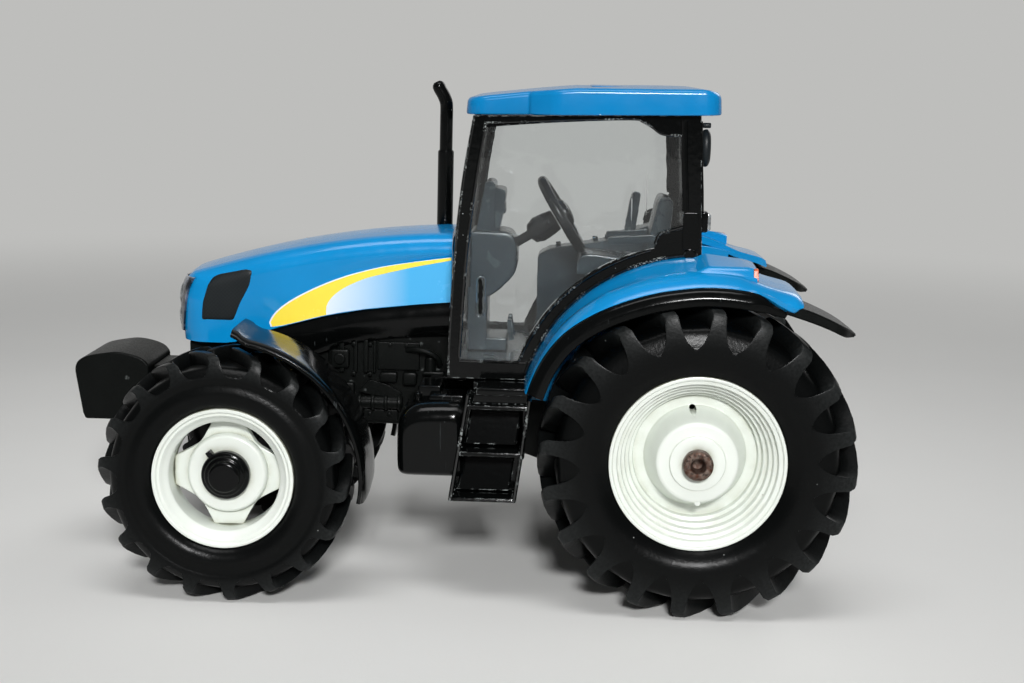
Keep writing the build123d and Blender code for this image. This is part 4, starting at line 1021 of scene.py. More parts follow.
class TRACTOR_OT_hubs(bpy.types.Operator):
    """Build the front hub caps and the riveted ends of the rear axle"""

    bl_idname = "tractor.hubs"
    bl_label = "Hub caps and axle ends"

    def execute(self, context):
        edge_y = size_mm("front_rim_left")[1].y
        cap = Shape()
        face = (
            (0.0, 0.8), (2.3, 0.85), (2.65, 1.05), (2.8, 1.55), (3.35, 1.65), (3.55, 2.1), (3.95, 2.2),
            (4.2, 2.55), (4.2, 3.85), (1.7, 3.85), (1.7, 2.6), (0.0, 2.6),
        )
        profile = rounded([(r, edge_y - d) for r, d in face], 0.2, 3, closed=False)
        cap.turned(WHEELBASE, FRONT.z, profile, 96, closed=False)
        corners = (polar(3.6, 44), polar(5.1, 47), polar(5.1, 58), polar(3.6, 61))
        tab = [(WHEELBASE + x, FRONT.z + z) for x, z in corners]
        cap.prism(tab, edge_y - 3.85, edge_y - 2.6, 0.1)
        pair("button_hub_cap", cap, *GLOSS, body="front_wheel_{side}", node="front_hub_cap")
        head = size_mm("rear_axle")[1].y
        axle = Shape()
        face = (
            (0.0, 2.6), (0.95, 2.6), (1.1, 1.2), (1.2, 0.3), (1.4, 0.0), (2.2, 0.0), (2.5, 0.25), (2.58, 0.7),
            (2.58, 2.0), (1.6, 2.0),
        )
        profile = rounded([(r, head - d) for r, d in face], 0.14, 2, closed=False)
        axle.turned(0, REAR.z, profile + [(r, -y) for r, y in reversed(profile)], 56, closed=False)
        piece("riveted_axle", axle, "axle_steel", rusted_steel, node="rear_axle")
        return {"FINISHED"}


# ------------------------------------------------------------------ bonnet

BONNET_WALL = 1.2
BONNET_CROWN = 0.4
BONNET_BOTTOM = (
    (43.6, 50.17), (50.06, 49.55), (59.27, 48.42), (66.11, 47.12), (72.59, 45.35), (76.2, 44.3), (79.0, 43.1),
    (82.6, 41.85), (84.5, 41.6), (88.4, 41.6),
)
FAN_START = 80.0  # ahead of here the side's columns fan out towards the nose


BONNET_TOP = [Vector(p) for p in bow((43.6, 62.9), (67.25, 60.5), (91.0, 54.5), 24)[:-1]]
BONNET_NOSE = (
    (91.0, 54.5), (92.5, 53.3), (93.3, 51.4), (93.6, 49.0), (93.62, 46.5), (93.55, 43.8), (93.3, 41.6),
)
BONNET_TOP += curve(BONNET_NOSE, 3)
# The printed panel's top edge, from its front tip to the cab.
PANEL_TOP = (
    (76.20, 46.30), (75.30, 47.55), (73.65, 49.0), (70.90, 50.75), (66.90, 52.75), (62.90, 54.35),
    (58.95, 55.55), (55.0, 56.50), (49.10, 57.50), (43.62, 58.30),
)
# The panel's front tip and bottom edge, from the tip to the cab.
PANEL_BOTTOM = (
    (76.48, 45.55), (76.33, 44.98), (75.80, 44.78), (72.59, 45.43), (66.11, 47.20), (59.27, 48.50),
    (50.06, 49.62), (43.62, 50.19),
)
# The yellow band's lower edge, which is the fading panel's upper edge.
BAND_BOTTOM = (
    (66.10, 47.20), (66.10, 48.70), (65.45, 50.05), (64.20, 51.35), (62.30, 52.60), (59.0, 54.10),
    (55.0, 55.20), (50.10, 56.42), (43.62, 57.75),
)


def bonnet_section(tangent):
    """The way in from the bonnet's profile, and its roll there."""
    sizes = bpy.context.scene.tractor_body
    fall = math.atan2(-tangent.y, tangent.x) / (pi / 2)
    roll = (sizes.shoulder + (sizes.nose_corner - sizes.shoulder) * ease(fall)) / MM
    return Vector((tangent.y, -tangent.x)), roll


def profile_frames():
    """Each point of the bonnet's profile, where its roll ends, and the roll's radius."""
    frames = []
    last = len(BONNET_TOP) - 1
    for i, spot in enumerate(BONNET_TOP):
        tangent = (BONNET_TOP[min(i + 1, last)] - BONNET_TOP[max(i - 1, 0)]).normalized()
        inward, roll = bonnet_section(tangent)
        if spot.y < 49.6:
            inward = Vector((-1.0, 0.0))
        frames.append([spot, spot + inward * (roll + BONNET_CROWN), roll])
    # Round the nose's tight corner the roll's end runs straight, so that it can't fold.
    first = max(i for i, f in enumerate(frames) if f[0].x < 88.9)
    final = min(i for i, f in enumerate(frames) if f[0].y < 49.6)
    for i in range(first + 1, final):
        frames[i][1] = frames[first][1].lerp(frames[final][1], (i - first) / (final - first))
    return frames


def bonnet_y(x, z, lift):
    """Half width of the bonnet's skin at a side-view point."""
    half = size_mm("bonnet")[1].y
    spot = Vector((x, z))
    depths = []
    frames = profile_frames()
    for (a, _, roll), (b, _, _) in zip(frames, frames[1:]):
        span = b - a
        t = max(0.0, min(1.0, (spot - a).dot(span) / span.length_squared))
        depths.append(((spot - a - span * t).length, roll))
    depth, roll = min(depths, key=lambda found: found[0])
    if depth >= roll + BONNET_CROWN:
        return half + lift
    share = 1 - max(0.0, depth - BONNET_CROWN) / roll
    return half - roll + roll * sqrt(max(0.0, 1 - share * share)) + lift


class TRACTOR_OT_bonnet(bpy.types.Operator):
    """Build the blue bonnet with its rolled shoulders, rounded nose and side fold"""

    bl_idname = "tractor.bonnet"
    bl_label = "Bonnet"

    def execute(self, context):
        half = size_mm("bonnet")[1].y
        fold = context.scene.tractor_body.fold / MM
        frames = profile_frames()
        first_fan = next(i for i, f in enumerate(frames) if f[1].x > FAN_START)
        nose_end = frames[-1][1]
        rings = []
        for i, (spot, end, roll) in enumerate(frames):
            flat = half - roll
            inward = (end - spot).normalized()
            depth = (end - spot).length
            outer = [(flat * k / 4, BONNET_CROWN * (k / 4) ** 2) for k in range(5)]
            for k in range(1, 9):
                turn = radians(90 * k / 8)
                fall = (depth - BONNET_CROWN) * (1 - cos(turn))
                outer.append((flat + roll * sin(turn), BONNET_CROWN + fall))
            line = [(spot.x + inward.x * d, y, spot.y + inward.y * d) for y, d in outer]
            inner = []
            for y, d in outer:
                d = BONNET_WALL + d * (1 - BONNET_WALL / depth)
                inner.append((spot.x + inward.x * d, y * (1 - BONNET_WALL / half), spot.y + inward.y * d))
            if i < first_fan:
                foot = Vector((end.x, height_at(BONNET_BOTTOM, end.x)))
            else:
                share = (i - first_fan + 1) / (len(frames) - first_fan)
                x = FAN_START + (nose_end.x - FAN_START) * share
                foot = Vector((x, min(end.y, height_at(BONNET_BOTTOM, x))))
            ledge = fold * ease((70 - end.x) / 20)
            fold_share = 0.42
            if end.x < 74:
                fold_share = (end.y - height_at(PANEL_TOP, end.x)) / max(0.5, end.y - foot.y)
            shares = [0.35 * fold_share, 0.7 * fold_share, 0.95 * fold_share, fold_share + 0.01]
            steps = [ledge * 0.2, ledge * 0.75, ledge, 0.0]
            shares += [fold_share + (1 - fold_share) * k / 5 for k in (1, 2, 3, 4, 5)]
            steps += [0.0] * 5
            for share, step in zip(shares, steps):
                at = end.lerp(foot, share)
                line.append((at.x, half - step, at.y))
                inner.append((at.x, half - BONNET_WALL - step, at.y))
            left = line + inner[::-1]
            right = [(x, -y, z) for x, y, z in left]
            loop = right[1 : len(line)][::-1] + left + right[len(line) : -1]
            rings.append(loop)
        shape = Shape()
        made = shape.loft(rings, closed=True)
        for ring in (made[0], made[-1]):
            count = len(ring)
            for k in range(count // 2 - 1):
                shape.face((ring[k], ring[k + 1], ring[count - 2 - k], ring[count - 1 - k]))
        piece("rolled_bonnet", shape, *ENAMEL, node="bonnet", crease=50)
        return {"FINISHED"}


class TRACTOR_OT_panels(bpy.types.Operator):
    """Lay the printed colour bands and the smoked side grilles on the bonnet"""

    bl_idname = "tractor.panels"
    bl_label = "Printed bands and side grilles"

    def execute(self, context):
        half = size_mm("bonnet")[1].y
        film = context.scene.tractor_body.film / MM
        top = curve(((76.48, 45.60),) + PANEL_TOP, 5)
        bottom = curve(PANEL_BOTTOM, 5)
        band = curve(BAND_BOTTOM, 5)
        inner_top = []
        for i, p in enumerate(top):
            along = top[min(i + 1, len(top) - 1)] - top[max(i - 1, 0)]
            inward = Vector((-along.y, along.x)).normalized()
            inner_top.append(p + inward * (0.06 + 0.2 * ease((p.x - 46) / 28)))
        tip = [p + Vector((-0.25 if p.x > 75.5 else 0, 0.07)) for p in bottom if p.x > 66.1]
        shape = Shape()
        films = (
            (top, bottom, 1.0, 0), (inner_top, tip + [p for p in band if p.y > 47.3], 1.6, 1),
            (band, [p + Vector((0, 0.01)) for p in bottom if p.x <= 66.12], 1.3, 2),
        )
        for upper, lower, height, material in films:
            lines = []
            for k in range(49):
                share = 0.003 + 0.997 * k / 48
                p, q = on_line(upper, share), on_line(lower, share)
                inner, outer = half - 0.1, half + height * film
                lines.append([(p.x, inner, p.y), (p.x, outer, p.y), (q.x, outer, q.y), (q.x, inner, q.y)])
            shape.solid(lines, material)
        pair("printed_band", shape, "blue_enamel", printed_white, printed_yellow, printed_fade)

        grille = Shape()
        corners = (
            (88.85, 45.75), (88.6, 48.9), (87.6, 52.2), (86.7, 53.6), (85.6, 54.1), (80.6, 55.15),
            (79.55, 54.9), (80.05, 52.3), (81.8, 48.9), (83.0, 45.75),
        )
        edge = rounded(corners, 0.55, 4)
        middle = Vector((84.3, 50.6))
        rings = []
        for share, lift in (
            (0.001, 0.1), (0.25, 0.1), (0.5, 0.1), (0.72, 0.1), (0.88, 0.1), (0.96, 0.09), (1.0, -0.02),
        ):
            spots = [middle.lerp(Vector(p), share) for p in edge]
            rings.append(grille.ring([(p.x, bonnet_y(p.x, p.y, lift), p.y) for p in spots]))
        grille.skin(rings)
        grille.face(rings[0])
        pair("side_grille", grille, "grille_plastic", smoked_grille)
        return {"FINISHED"}


class TRACTOR_OT_nose(bpy.types.Operator):
    """Build the nose grille: smoked lamps at its corners and slats between them"""

    bl_idname = "tractor.nose"
    bl_label = "Nose grille"

    def execute(self, context):
        half = size_mm("bonnet")[1].y
        roll = context.scene.tractor_body.nose_corner / MM
        flat = half - roll
        low, high = 43.3, 53.2

        def front(z):
            spots = sorted((p.y, p.x) for p in BONNET_TOP if p.x > 90)
            return height_at(spots, z)

        def at(z, share, lift):
            """A point on the nose: share 1 is where the roll starts, beyond it is round the corner."""
            if share <= 1:
                return (front(z) + lift, flat * share, z)
            x, y = arc((front(z) - roll, flat), roll + lift, math.degrees(share - 1), 0, 1)[0]
            return (x, y, z)

        shape = Shape()
        rows = [low + (high - low) * k / 16 for k in range(17)]
        rings = []
        for z in rows:
            reach = radians(34 + 21 * (z - low) / (high - low))
            half_line = [at(z, s, 0.12) for s in (0.0, 0.33, 0.66, 1.0)]
            half_line += [at(z, 1 + reach * k / 6, 0.12) for k in range(1, 7)]
            half_line.append(at(z, 1 + reach, -0.25))
            rings.append([(x, -y, zz) for x, y, zz in half_line[:0:-1]] + half_line)
        top = [(x - 0.3, y, z + 0.05) for x, y, z in rings[-1]]
        bottom = [(x - 0.3, y, z - 0.05) for x, y, z in rings[0]]
        shape.loft([bottom] + rings + [top])
        for k in range(7):
            z = 44.4 + 1.25 * k
            x = front(z)
            shape.box(x - 0.2, x + 0.34, -4.6, 4.6, z - 0.32, z + 0.32, 0.14, 1)
        shape.box(front(48) - 0.2, front(48) + 0.3, -0.3, 0.3, 43.8, 52.6, 0.1, 1)
        for side in (-1, 1):
            for z0, z1 in ((44.3, 47.4), (48.4, 51.8)):
                rings = []
                for k in range(5):
                    z = z0 + (z1 - z0) * k / 4
                    ring = []
                    for degrees in (0, 2, 8, 16, 24, 26):
                        lift = 0.12 if k in (0, 4) or degrees in (0, 26) else 0.3
                        x, y, _ = at(z, 1 + radians(degrees), lift)
                        ring.append((x, side * y, z))
                    rings.append(ring)
                shape.loft(rings, material=2)
        piece(
            "nose_grille", shape, "grille_plastic", smoked_headlamp, smoked_grille, silvered_lens,
            node="grille",
        )
        return {"FINISHED"}


# ------------------------------------------------------------------ roof and cab

ROOF_TOP = (
    (42.0, 86.6), (41.0, 86.9), (29.6, 88.3), (16.8, 89.3), (2.0, 89.3), (-1.2, 88.9), (-2.6, 88.4),
    (-3.0, 88.2),
)


class TRACTOR_OT_roof(bpy.types.Operator):
    """Build the blue roof with its stepped sides, brow and rolled edge"""

    bl_idname = "tractor.roof"
    bl_label = "Roof"

    def execute(self, context):
        low, high = size_mm("roof")
        roll = context.scene.tractor_body.roof_edge / MM
        wide, narrow = high.y, high.y - 3.0
        front, rear = high.x, low.x
        middle = (front + rear) / 2
        step = narrow + 0.75
        side = [(front, 0)] + arc((front - 3.2, narrow - 3.2), 3.2, 0, 90, 7) + [(30.2, narrow), (29.7, step)]
        side = rounded(side, 0.25, 2, False)[:-1]
        side += rounded([(29.7, step), (25.6, wide - 0.02), (22.0, wide)], 1.2, 4, False)
        side += arc((rear + 3.0, wide - 3.0), 3.0, 90, 180, 7) + [(rear, 0)]
        outline = side + [(x, -y) for x, y in side[-2:0:-1]]
        crest = curve(ROOF_TOP[::-1], 5)

        def under(x, lift):
            return low.z + 0.05 + (x - front) / (rear - front) * 0.9 + lift

        def top(x, lift):
            return height_at(crest, x) + lift

        def ring(inset, height, lift=0.0):
            """The outline drawn in by that much, at a height that follows x."""
            points = []
            for x, y in outline:
                x = middle + (x - middle) * (1 - inset / wide * 0.86)
                points.append((x, y * (1 - inset / wide), height(x, lift)))
            return points

        rings = [ring(2.2, under), ring(0.5, under), ring(0.12, under, 0.1), ring(0.0, under, 0.4)]
        for k in range(7):
            turn = radians(90 * k / 6)
            rings.append(ring(0.15 + roll * (1 - cos(turn)), top, -roll * (1 - sin(turn))))
        rings += [ring(inset, top) for inset in (3.6, 6.0, 10.0, 15.0, 20.0, wide - 0.001)]
        shape = Shape()
        made = shape.loft(rings, closed=True)
        shape.face(made[0])
        # A shallow hatch panel breaks up the flat middle.
        hatch = rounded(((19.5, -9.5), (19.5, 9.5), (6.5, 9.5), (6.5, -9.5)), 2.0, 4)
        shape.prism(hatch, 89.0, high.z, 0.12, plane="plan")
        piece("stepped_roof", shape, "blue_plastic", moulded_blue, node="roof", crease=40)
        return {"FINISHED"}


class TRACTOR_OT_cab(bpy.types.Operator):
    """Build the gloss black cab frame and clear its panes"""

    bl_idname = "tractor.cab"
    bl_label = "Cab frame and panes"

    def execute(self, context):
        piece("cab_shell", softened("cab_frame", 0.22), *RUBBED, node="cab_frame")
        for node in ("windscreen", "rear_window", "door_glass_left", "door_glass_right"):
            dress(node, clear_pane)
        return {"FINISHED"}


# ------------------------------------------------------------------ inside the cab


class TRACTOR_OT_inside(bpy.types.Operator):
    """Build the dash, steering wheel, seat, console and floor inside the cab"""

    bl_idname = "tractor.inside"
    bl_label = "Inside the cab"

    def execute(self, context):
        dash = Shape()
        dash.box(37.2, 41.0, -5.4, 5.4, 40.6, 52.5, 0.5)
        dash.box(33.6, 37.6, -5.2, 5.2, 40.6, 43.0, 0.4)
        pod = (
            (37.2, 50.4), (34.6, 52.4), (32.2, 55.4), (31.95, 58.8), (32.4, 61.2), (33.8, 62.5),
            (37.2, 62.7), (40.7, 62.8),
        )
        hood = ((36.3, 62.4), (36.2, 71.2), (36.9, 71.75), (38.1, 71.5), (38.9, 66.6), (39.6, 62.4))
        screen = ((35.4, 62.6), (34.3, 69.0), (34.5, 70.2), (35.8, 70.5), (36.9, 70.2), (36.9, 62.6))
        dash.prism(curve(pod, 4) + [(40.7, 50.4)], -5.5, 5.5, 0.9)
        dash.prism(rounded(hood, 0.5), -4.7, 4.7, 0.45)
        dash.prism(rounded(screen, 0.4), -3.9, 3.9, 0.35)
        pedal = rounded(((32.2, 42.4), (32.9, 46.2), (33.6, 46.2), (33.2, 42.2)), 0.2)
        for y in (-3.6, -1.2, 2.6):
            dash.prism(pedal, y - 0.8, y + 0.8, 0.15)
        for y in (-2.2, 0.0, 2.2):
            dial = Shape()
            face = rounded(((0.0, 0.35), (0.8, 0.35), (0.95, 0.2), (0.95, 0.0)), 0.1, 2, closed=False)
            dial.turned(0, 0, face, 24, closed=False)
            dash.join(dial, Matrix.Translation((34.75, y, 66.6)) @ Matrix.Rotation(radians(90), 4, "Z"))
        piece("dash_and_pedals", dash, *GREY, node="dash_console")

        column = Shape()
        column.tube(((33.4, 0, 59.6), (30.4, 0, 61.4), (27.4, 0, 63.2)), (0.95, 0.9, 0.85), 20)
        shroud = ((29.9, 0, 61.7), (29.5, 0, 61.95), (28.2, 0, 62.75), (26.6, 0, 63.75), (25.2, 0, 64.6))
        column.tube(shroud, (1.1, 1.9, 2.4, 2.3, 2.0), 24)
        column.rod((27.8, 0.6, 63.0), (26.2, 4.6, 64.6), 0.32, 14, 0.2)
        column.rod((26.4, 4.2, 64.4), (26.1, 5.0, 64.7), 0.55, 14, 0.3)
        piece("steering_shaft", column, "cab_grey_plastic", moulded_wheel_charcoal, node="steering_column")

        wheel = Shape()
        radius, grip = 7.05, 0.95
        wheel.turned(0, 0, arc((radius, 0.0), grip, 0, 360 * 13 / 14, 13), 72)
        boss = ((0.0, -0.6), (2.2, -0.6), (2.6, 0.4), (2.4, 1.4), (1.1, 1.8), (0.0, 1.8))
        wheel.turned(0, 0, rounded(boss, 0.35, 3, closed=False), 32, closed=False)
        for turn in (90, 205, 335):
            hub, rim = Vector(polar(1.6, turn)), Vector(polar(7.0, turn))
            side = Vector(polar(1.0, turn + 90))
            spoke = (hub + side, rim + side * 0.7, rim - side * 0.7, hub - side)
            wheel.prism(rounded(spoke, 0.1), -0.35, 0.45, 0.2)
        lean = Matrix.Rotation(radians(31.5), 4, "Y") @ Matrix.Rotation(radians(90), 4, "Z")
        leaning = Shape()
        leaning.join(wheel, Matrix.Translation((24.1, 0, 65.6)) @ lean)
        piece("three_spoke_wheel", leaning, "cab_grey_plastic", moulded_wheel_charcoal, node="steering_wheel")

        seat = Shape()
        seat.box(8.0, 18.0, -4.2, 4.2, 40.6, 47.5, 0.6)
        for k in range(4):
            seat.box(7.6, 18.4, -4.6, 4.6, 47.4 + 1.7 * k, 48.8 + 1.7 * k, 0.5)
        cushion = (
            (21.2, 55.2), (21.0, 57.6), (19.4, 59.0), (14.0, 58.6), (8.4, 58.2), (7.4, 56.6), (7.8, 54.6),
        )
        back = (
            (9.0, 57.6), (8.4, 61.0), (7.3, 66.0), (6.5, 69.2), (5.2, 69.5), (4.0, 68.4), (4.6, 62.0),
            (5.6, 56.0), (7.4, 55.6),
        )
        seat.prism(curve(cushion, 4), -5.9, 5.9, 0.9)
        seat.prism(curve(back, 4), -5.4, 5.4, 0.8)
        armrest = rounded(((15.6, 60.8), (15.6, 62.2), (7.0, 62.8), (7.0, 61.4)), 0.5)
        for y in (-5.5, 5.5):
            seat.prism(armrest, y - 0.7, y + 0.5, 0.25)
        piece("sprung_seat", seat, *GREY, node="driver_seat")

        console = Shape()
        low, high = size_mm("side_console")
        side = ((28.4, 40.7), (28.4, 57.2), (26.4, 58.4), (15.0, 60.4), (6.3, 63.9), (5.2, 63.2), (5.2, 40.7))
        lever = (
            (12.7, 57.4), (11.95, 63.5), (11.0, 69.0), (10.3, 69.5), (9.2, 69.2), (9.9, 63.0), (10.6, 57.4),
        )
        console.prism(rounded(side, 0.8), low.y + 0.2, high.y - 0.2, 0.6)
        console.prism(rounded(lever, 0.5), -10.3, -8.5, 0.45)
        for x, y in ((24.6, -8.2), (24.6, -11.0), (17.6, -11.0), (15.2, -11.0), (13.2, -7.6)):
            z = 58.4 + (26.4 - x) * 0.175
            console.rod((x, y, z - 0.5), (x, y, z + 0.7), 0.5, 14, 0.2)
        piece("lever_console", console, *GREY, node="side_console")
        piece("cab_tub", softened("cab_floor", 0.3), *GREY, node="cab_floor")
        return {"FINISHED"}


# ------------------------------------------------------------------ fenders

# Rear fender: angle about the axle, its rise above the tyre at the cab and at its outer edge.
FENDER_RISE = (
    (21.0, 4.65, 4.15), (32.7, 5.05, 4.66), (42.9, 5.60, 4.66), (54.9, 5.95, 3.85), (66.7, 6.15, 3.10),
    (79.7, 6.45, 2.76), (87.0, 6.50, 2.84), (95.0, 6.30, 3.02), (102.0, 5.70, 3.26), (108.0, 5.25, 3.60),
    (112.0, 5.35, 3.90), (117.5, 5.90, 4.40), (122.0, 6.00, 4.80),
)
FENDER_INNER, FENDER_OUTER = 17.4, 34.0
LIP_OUTER = 35.3
# Where the lamp box's side runs out into the crown: y, share of the fall.
LAMP_BOX_FILLET = (
    (30.1, 0.05), (30.4, 0.16), (30.62, 0.32), (30.85, 0.5), (31.15, 0.66), (31.55, 0.8), (32.05, 0.92),
    (32.7, 1.03),
)


def fender_stations(first, last, steps):
    """Angle, rise at the cab and rise at the edge along the rear fender."""
    line = curve(FENDER_RISE, 8)
    result = []
    for k in range(steps + 1):
        angle = first + (last - first) * k / steps
        for p, q in zip(line, line[1:]):
            if angle <= q.x or q is line[-1]:
                t = min(1.0, max(0.0, (angle - p.x) / (q.x - p.x)))
                result.append((angle, p.y + (q.y - p.y) * t, p.z + (q.z - p.z) * t))
                break
    return result


def swept(shape, centre, stations):
    """Join closed (radius, y) sections, each at its angle about an axle, and cap the ends."""
    lines = []
    for angle, section in stations:
        a = radians(angle)
        lines.append([(centre[0] + r * cos(a), y, centre[1] + r * sin(a)) for r, y in section])
    shape.solid(lines)


def fender_crown(angle, a, b):
    """The rear fender's outer skin there, as (y, rise) from the cab to its lower edge."""
    fall = a - b
    share = min(1.0, fall / 2.6)
    crown = [
        (FENDER_INNER, a), (20.0, a), (22.0, a), (24.0, a - 0.05 * fall), (26.0, a - 0.15 * fall),
        (28.0, a - 0.29 * fall), (30.0, a - 0.38 * fall), (31.0, b + 1.98 * share),
        (31.9, b + 1.62 * share), (32.7, b + 1.15 * share), (33.4, b + 0.6 * share),
        (33.9, b + 0.1 * share), (33.95, b - 0.05), (33.5, b - 0.15),
    ]
    # Behind the lamp box the skin closes down into a rounded bulb.
    bulb = [
        (FENDER_INNER, a), (20.0, a), (22.0, a), (24.0, a), (26.0, a - 0.05), (28.0, a - 0.1),
        (30.0, a - 0.15), (31.6, a - 0.2), (33.0, a - 0.35), (34.2, a - 0.8), (35.0, a - 1.6),
        (LIP_OUTER, 3.7), (35.15, 2.9), (34.5, 2.45),
    ]
    turn = ease((angle - 103.0) / 12.0)
    return [(y0 + (y1 - y0) * turn, r0 + (r1 - r0) * turn) for (y0, r0), (y1, r1) in zip(crown, bulb)]


def crown_height(x, y):
    """Height of the rear fender's skin at x and y."""
    angle = 90 - math.degrees(math.asin(x / (TYRE_REAR + 5.8)))
    _, a, b = fender_stations(angle, angle + 1, 1)[0]
    rise = height_at(fender_crown(angle, a, b)[:12], y)
    return REAR.z + sqrt((TYRE_REAR + rise) ** 2 - x * x)


class TRACTOR_OT_rear_fenders(bpy.types.Operator):
    """Build the crowned blue rear fenders with their lamp boxes, and the black lip and flap"""

    bl_idname = "tractor.rear_fenders"
    bl_label = "Rear fenders"

    def execute(self, context):
        thick = 1.3
        last = 120.6
        fender = Shape()
        stations = []
        for angle, a, b in fender_stations(21.0, last, 66):
            top = fender_crown(angle, a, b)
            low = top[-1][1]
            under = [(33.0, low - 0.05), (32.2, low + 0.3)]
            under += [(y, height_at(top[:12], y) - thick) for y in (30.0, 26.0, 22.0, FENDER_INNER)]
            section = top + under
            # The end is rounded over.
            end = max(0.0, (angle - (last - 2.6)) / 2.6)
            hold = sqrt(1 - 0.93 * end * end)
            middle = sum(r for _, r in section) / len(section)
            ring = []
            for y, rise in section:
                inward = (y - 25.7) * 0.09 * (1 - hold)
                ring.append((TYRE_REAR + middle + (rise - middle) * hold, y - inward))
            stations.append((angle, ring))
        swept(fender, (0, REAR.z), stations)
        # The wall between the wheel and the cab.
        wall = arc((0, REAR.z), TYRE_REAR + 4.6, 13.0, 106.0, 30) + arc((0, REAR.z), 7.2, 130.0, 45.0, 12)
        fender.prism(wall, 16.3, FENDER_INNER + 0.1, 0.1)
        # The lamp box on the crown behind the cab, its side growing out of the crown.
        lines = []
        for k in range(13):
            x = 1.6 - 10.35 * k / 12
            grow = ease((1.6 - x) / 2.4)
            back = 0.3 * ease((k - 10.5) / 1.5)
            far, near, skin = (crown_height(x, y) for y in (22.6, 30.0, 32.7))
            far += grow * (61.55 + 0.12 * (x + 1.1) - far) - 0.05
            near += grow * (60.35 - near) - 0.05
            side = near - skin
            line = [(x, 22.2, far - 2.5), (x, 22.2, far - 0.3 - back), (x, 22.6, far - back)]
            line.append((x, 29.6, near - back))
            line += [(x, y, near - share * side - back * (1 - share)) for y, share in LAMP_BOX_FILLET]
            lines.append(line + [(x, 31.6, skin - 1.1), (x, 22.2, far - 3.4)])
        fender.solid(lines)
        pair("crowned_fender", fender, *ENAMEL, node="rear_fender", crease=40)

        lamp = Shape()
        corner = rounded(((28.9, 57.9), (31.15, 57.9), (30.65, 60.0), (28.9, 60.05)), 0.35, 3)
        lamp.prism(corner, -8.95, -8.15, 0.2, plane="end")
        pair("fender_lamp", lamp, "amber_lens", painted_orange)

        lip = Shape()
        stations = []
        for angle, _, b in fender_stations(21.6, 117.6, 60):
            tuck = 0.9 * ease((angle - 106.0) / 6.0)
            section = [
                (b, 33.2), (b - 0.1, 33.9), (b - 0.3, 34.4), (b - 0.65, 34.8), (b - 1.2, 35.05),
                (b - 1.55, 35.2), (b - 1.9, LIP_OUTER), (b - 2.9, LIP_OUTER), (b - 3.05, 35.15),
                (b - 3.05, 34.85), (b - 2.8, 34.7), (b - 1.4, 34.4), (b - 0.6, 33.2),
            ]
            stations.append((angle, [(TYRE_REAR + rise, y - tuck) for rise, y in section]))
        swept(lip, (0, REAR.z), stations)
        # The flap that carries on behind the fender.
        top_line = curve(((-13.6, 54.6), (-16.8, 54.0), (-20.5, 52.55), (-23.8, 50.9), (-25.4, 49.8)), 4)
        under_line = curve(((-13.2, 53.2), (-17.45, 51.9), (-20.7, 50.7), (-23.6, 49.4), (-25.2, 49.2)), 4)
        lines = []
        for p, q in zip(top_line, under_line):
            pull = 3.2 * ease((-21.5 - p.x) / 4.0) ** 2
            outer, inner = 34.9 - pull, 20.3 + pull
            lines.append([
                (p.x, inner, p.y - 0.3), (p.x, inner + 0.3, p.y), (p.x, (inner + outer) / 2, p.y + 0.05),
                (p.x, outer - 0.3, p.y), (p.x, outer, p.y - 0.3), (q.x, outer, q.y + 0.25),
                (q.x, outer - 0.3, q.y), (q.x, inner + 0.3, q.y), (q.x, inner, q.y + 0.25),
            ])
        lip.solid(lines, 1)
        pair("fender_lip", lip, *GLOSS, moulded_charcoal, node="fender_edging", crease=35)
        return {"FINISHED"}


class TRACTOR_OT_front_fenders(bpy.types.Operator):
    """Build the black front fenders with their rolled outer edge"""

    bl_idname = "tractor.front_fenders"
    bl_label = "Front fenders"

    def execute(self, context):
        inner, outer = 19.6, size_mm("front_fender_left")[1].y
        first, last = 93.6, 190.0
        shape = Shape()
        stations = []
        for k in range(41):
            angle = first + (last - first) * k / 40
            end = ease((angle - (last - 9)) / 9) ** 2
            tip = ease((first + 7 - angle) / 7)
            edge = outer - 2.0 * end - 0.4 * tip**2
            near = inner + 1.5 * end
            radius = 23.55 + 1.3 * tip - 0.25 * end
            section = [
                (0.8, near), (0.98, near + 0.3), (1.04, near + 4.0), (1.0, edge - 4.0),
                (0.93, edge - 1.9), (0.82, edge - 1.1), (0.62, edge - 0.62), (0.52, edge - 0.5),
                (0.46, edge - 0.34), (0.42, edge - 0.1), (0.3, edge), (-0.08, edge), (-0.24, edge - 0.15),
                (-0.26, edge - 0.45), (-0.12, edge - 0.7), (0.02, edge - 1.3), (0.06, edge - 4.0),
                (0.04, near + 0.2),
            ]
            stations.append((angle, [(radius + r, y) for r, y in section]))
        swept(shape, (WHEELBASE, FRONT.z), stations)
        pair("rolled_front_fender", shape, *GLOSS, body="knuckle_{side}", node="front_fender", crease=40)
        return {"FINISHED"}


# ------------------------------------------------------------------ chassis and fittings


DOOR_TOP = (
    (37.3, 82.75), (29.6, 83.2), (21.0, 83.7), (12.3, 84.0), (11.0, 83.7), (9.2, 82.75), (7.8, 81.75),
    (6.4, 81.45), (3.8, 81.4),
)


def bead(shape, line, y, radius, steps=10, material=0):
    """A round bead along a side-view line at that y."""
    points = [(x, y, z) for x, z in line]
    shape.tube(points, [radius] * len(points), steps, material)


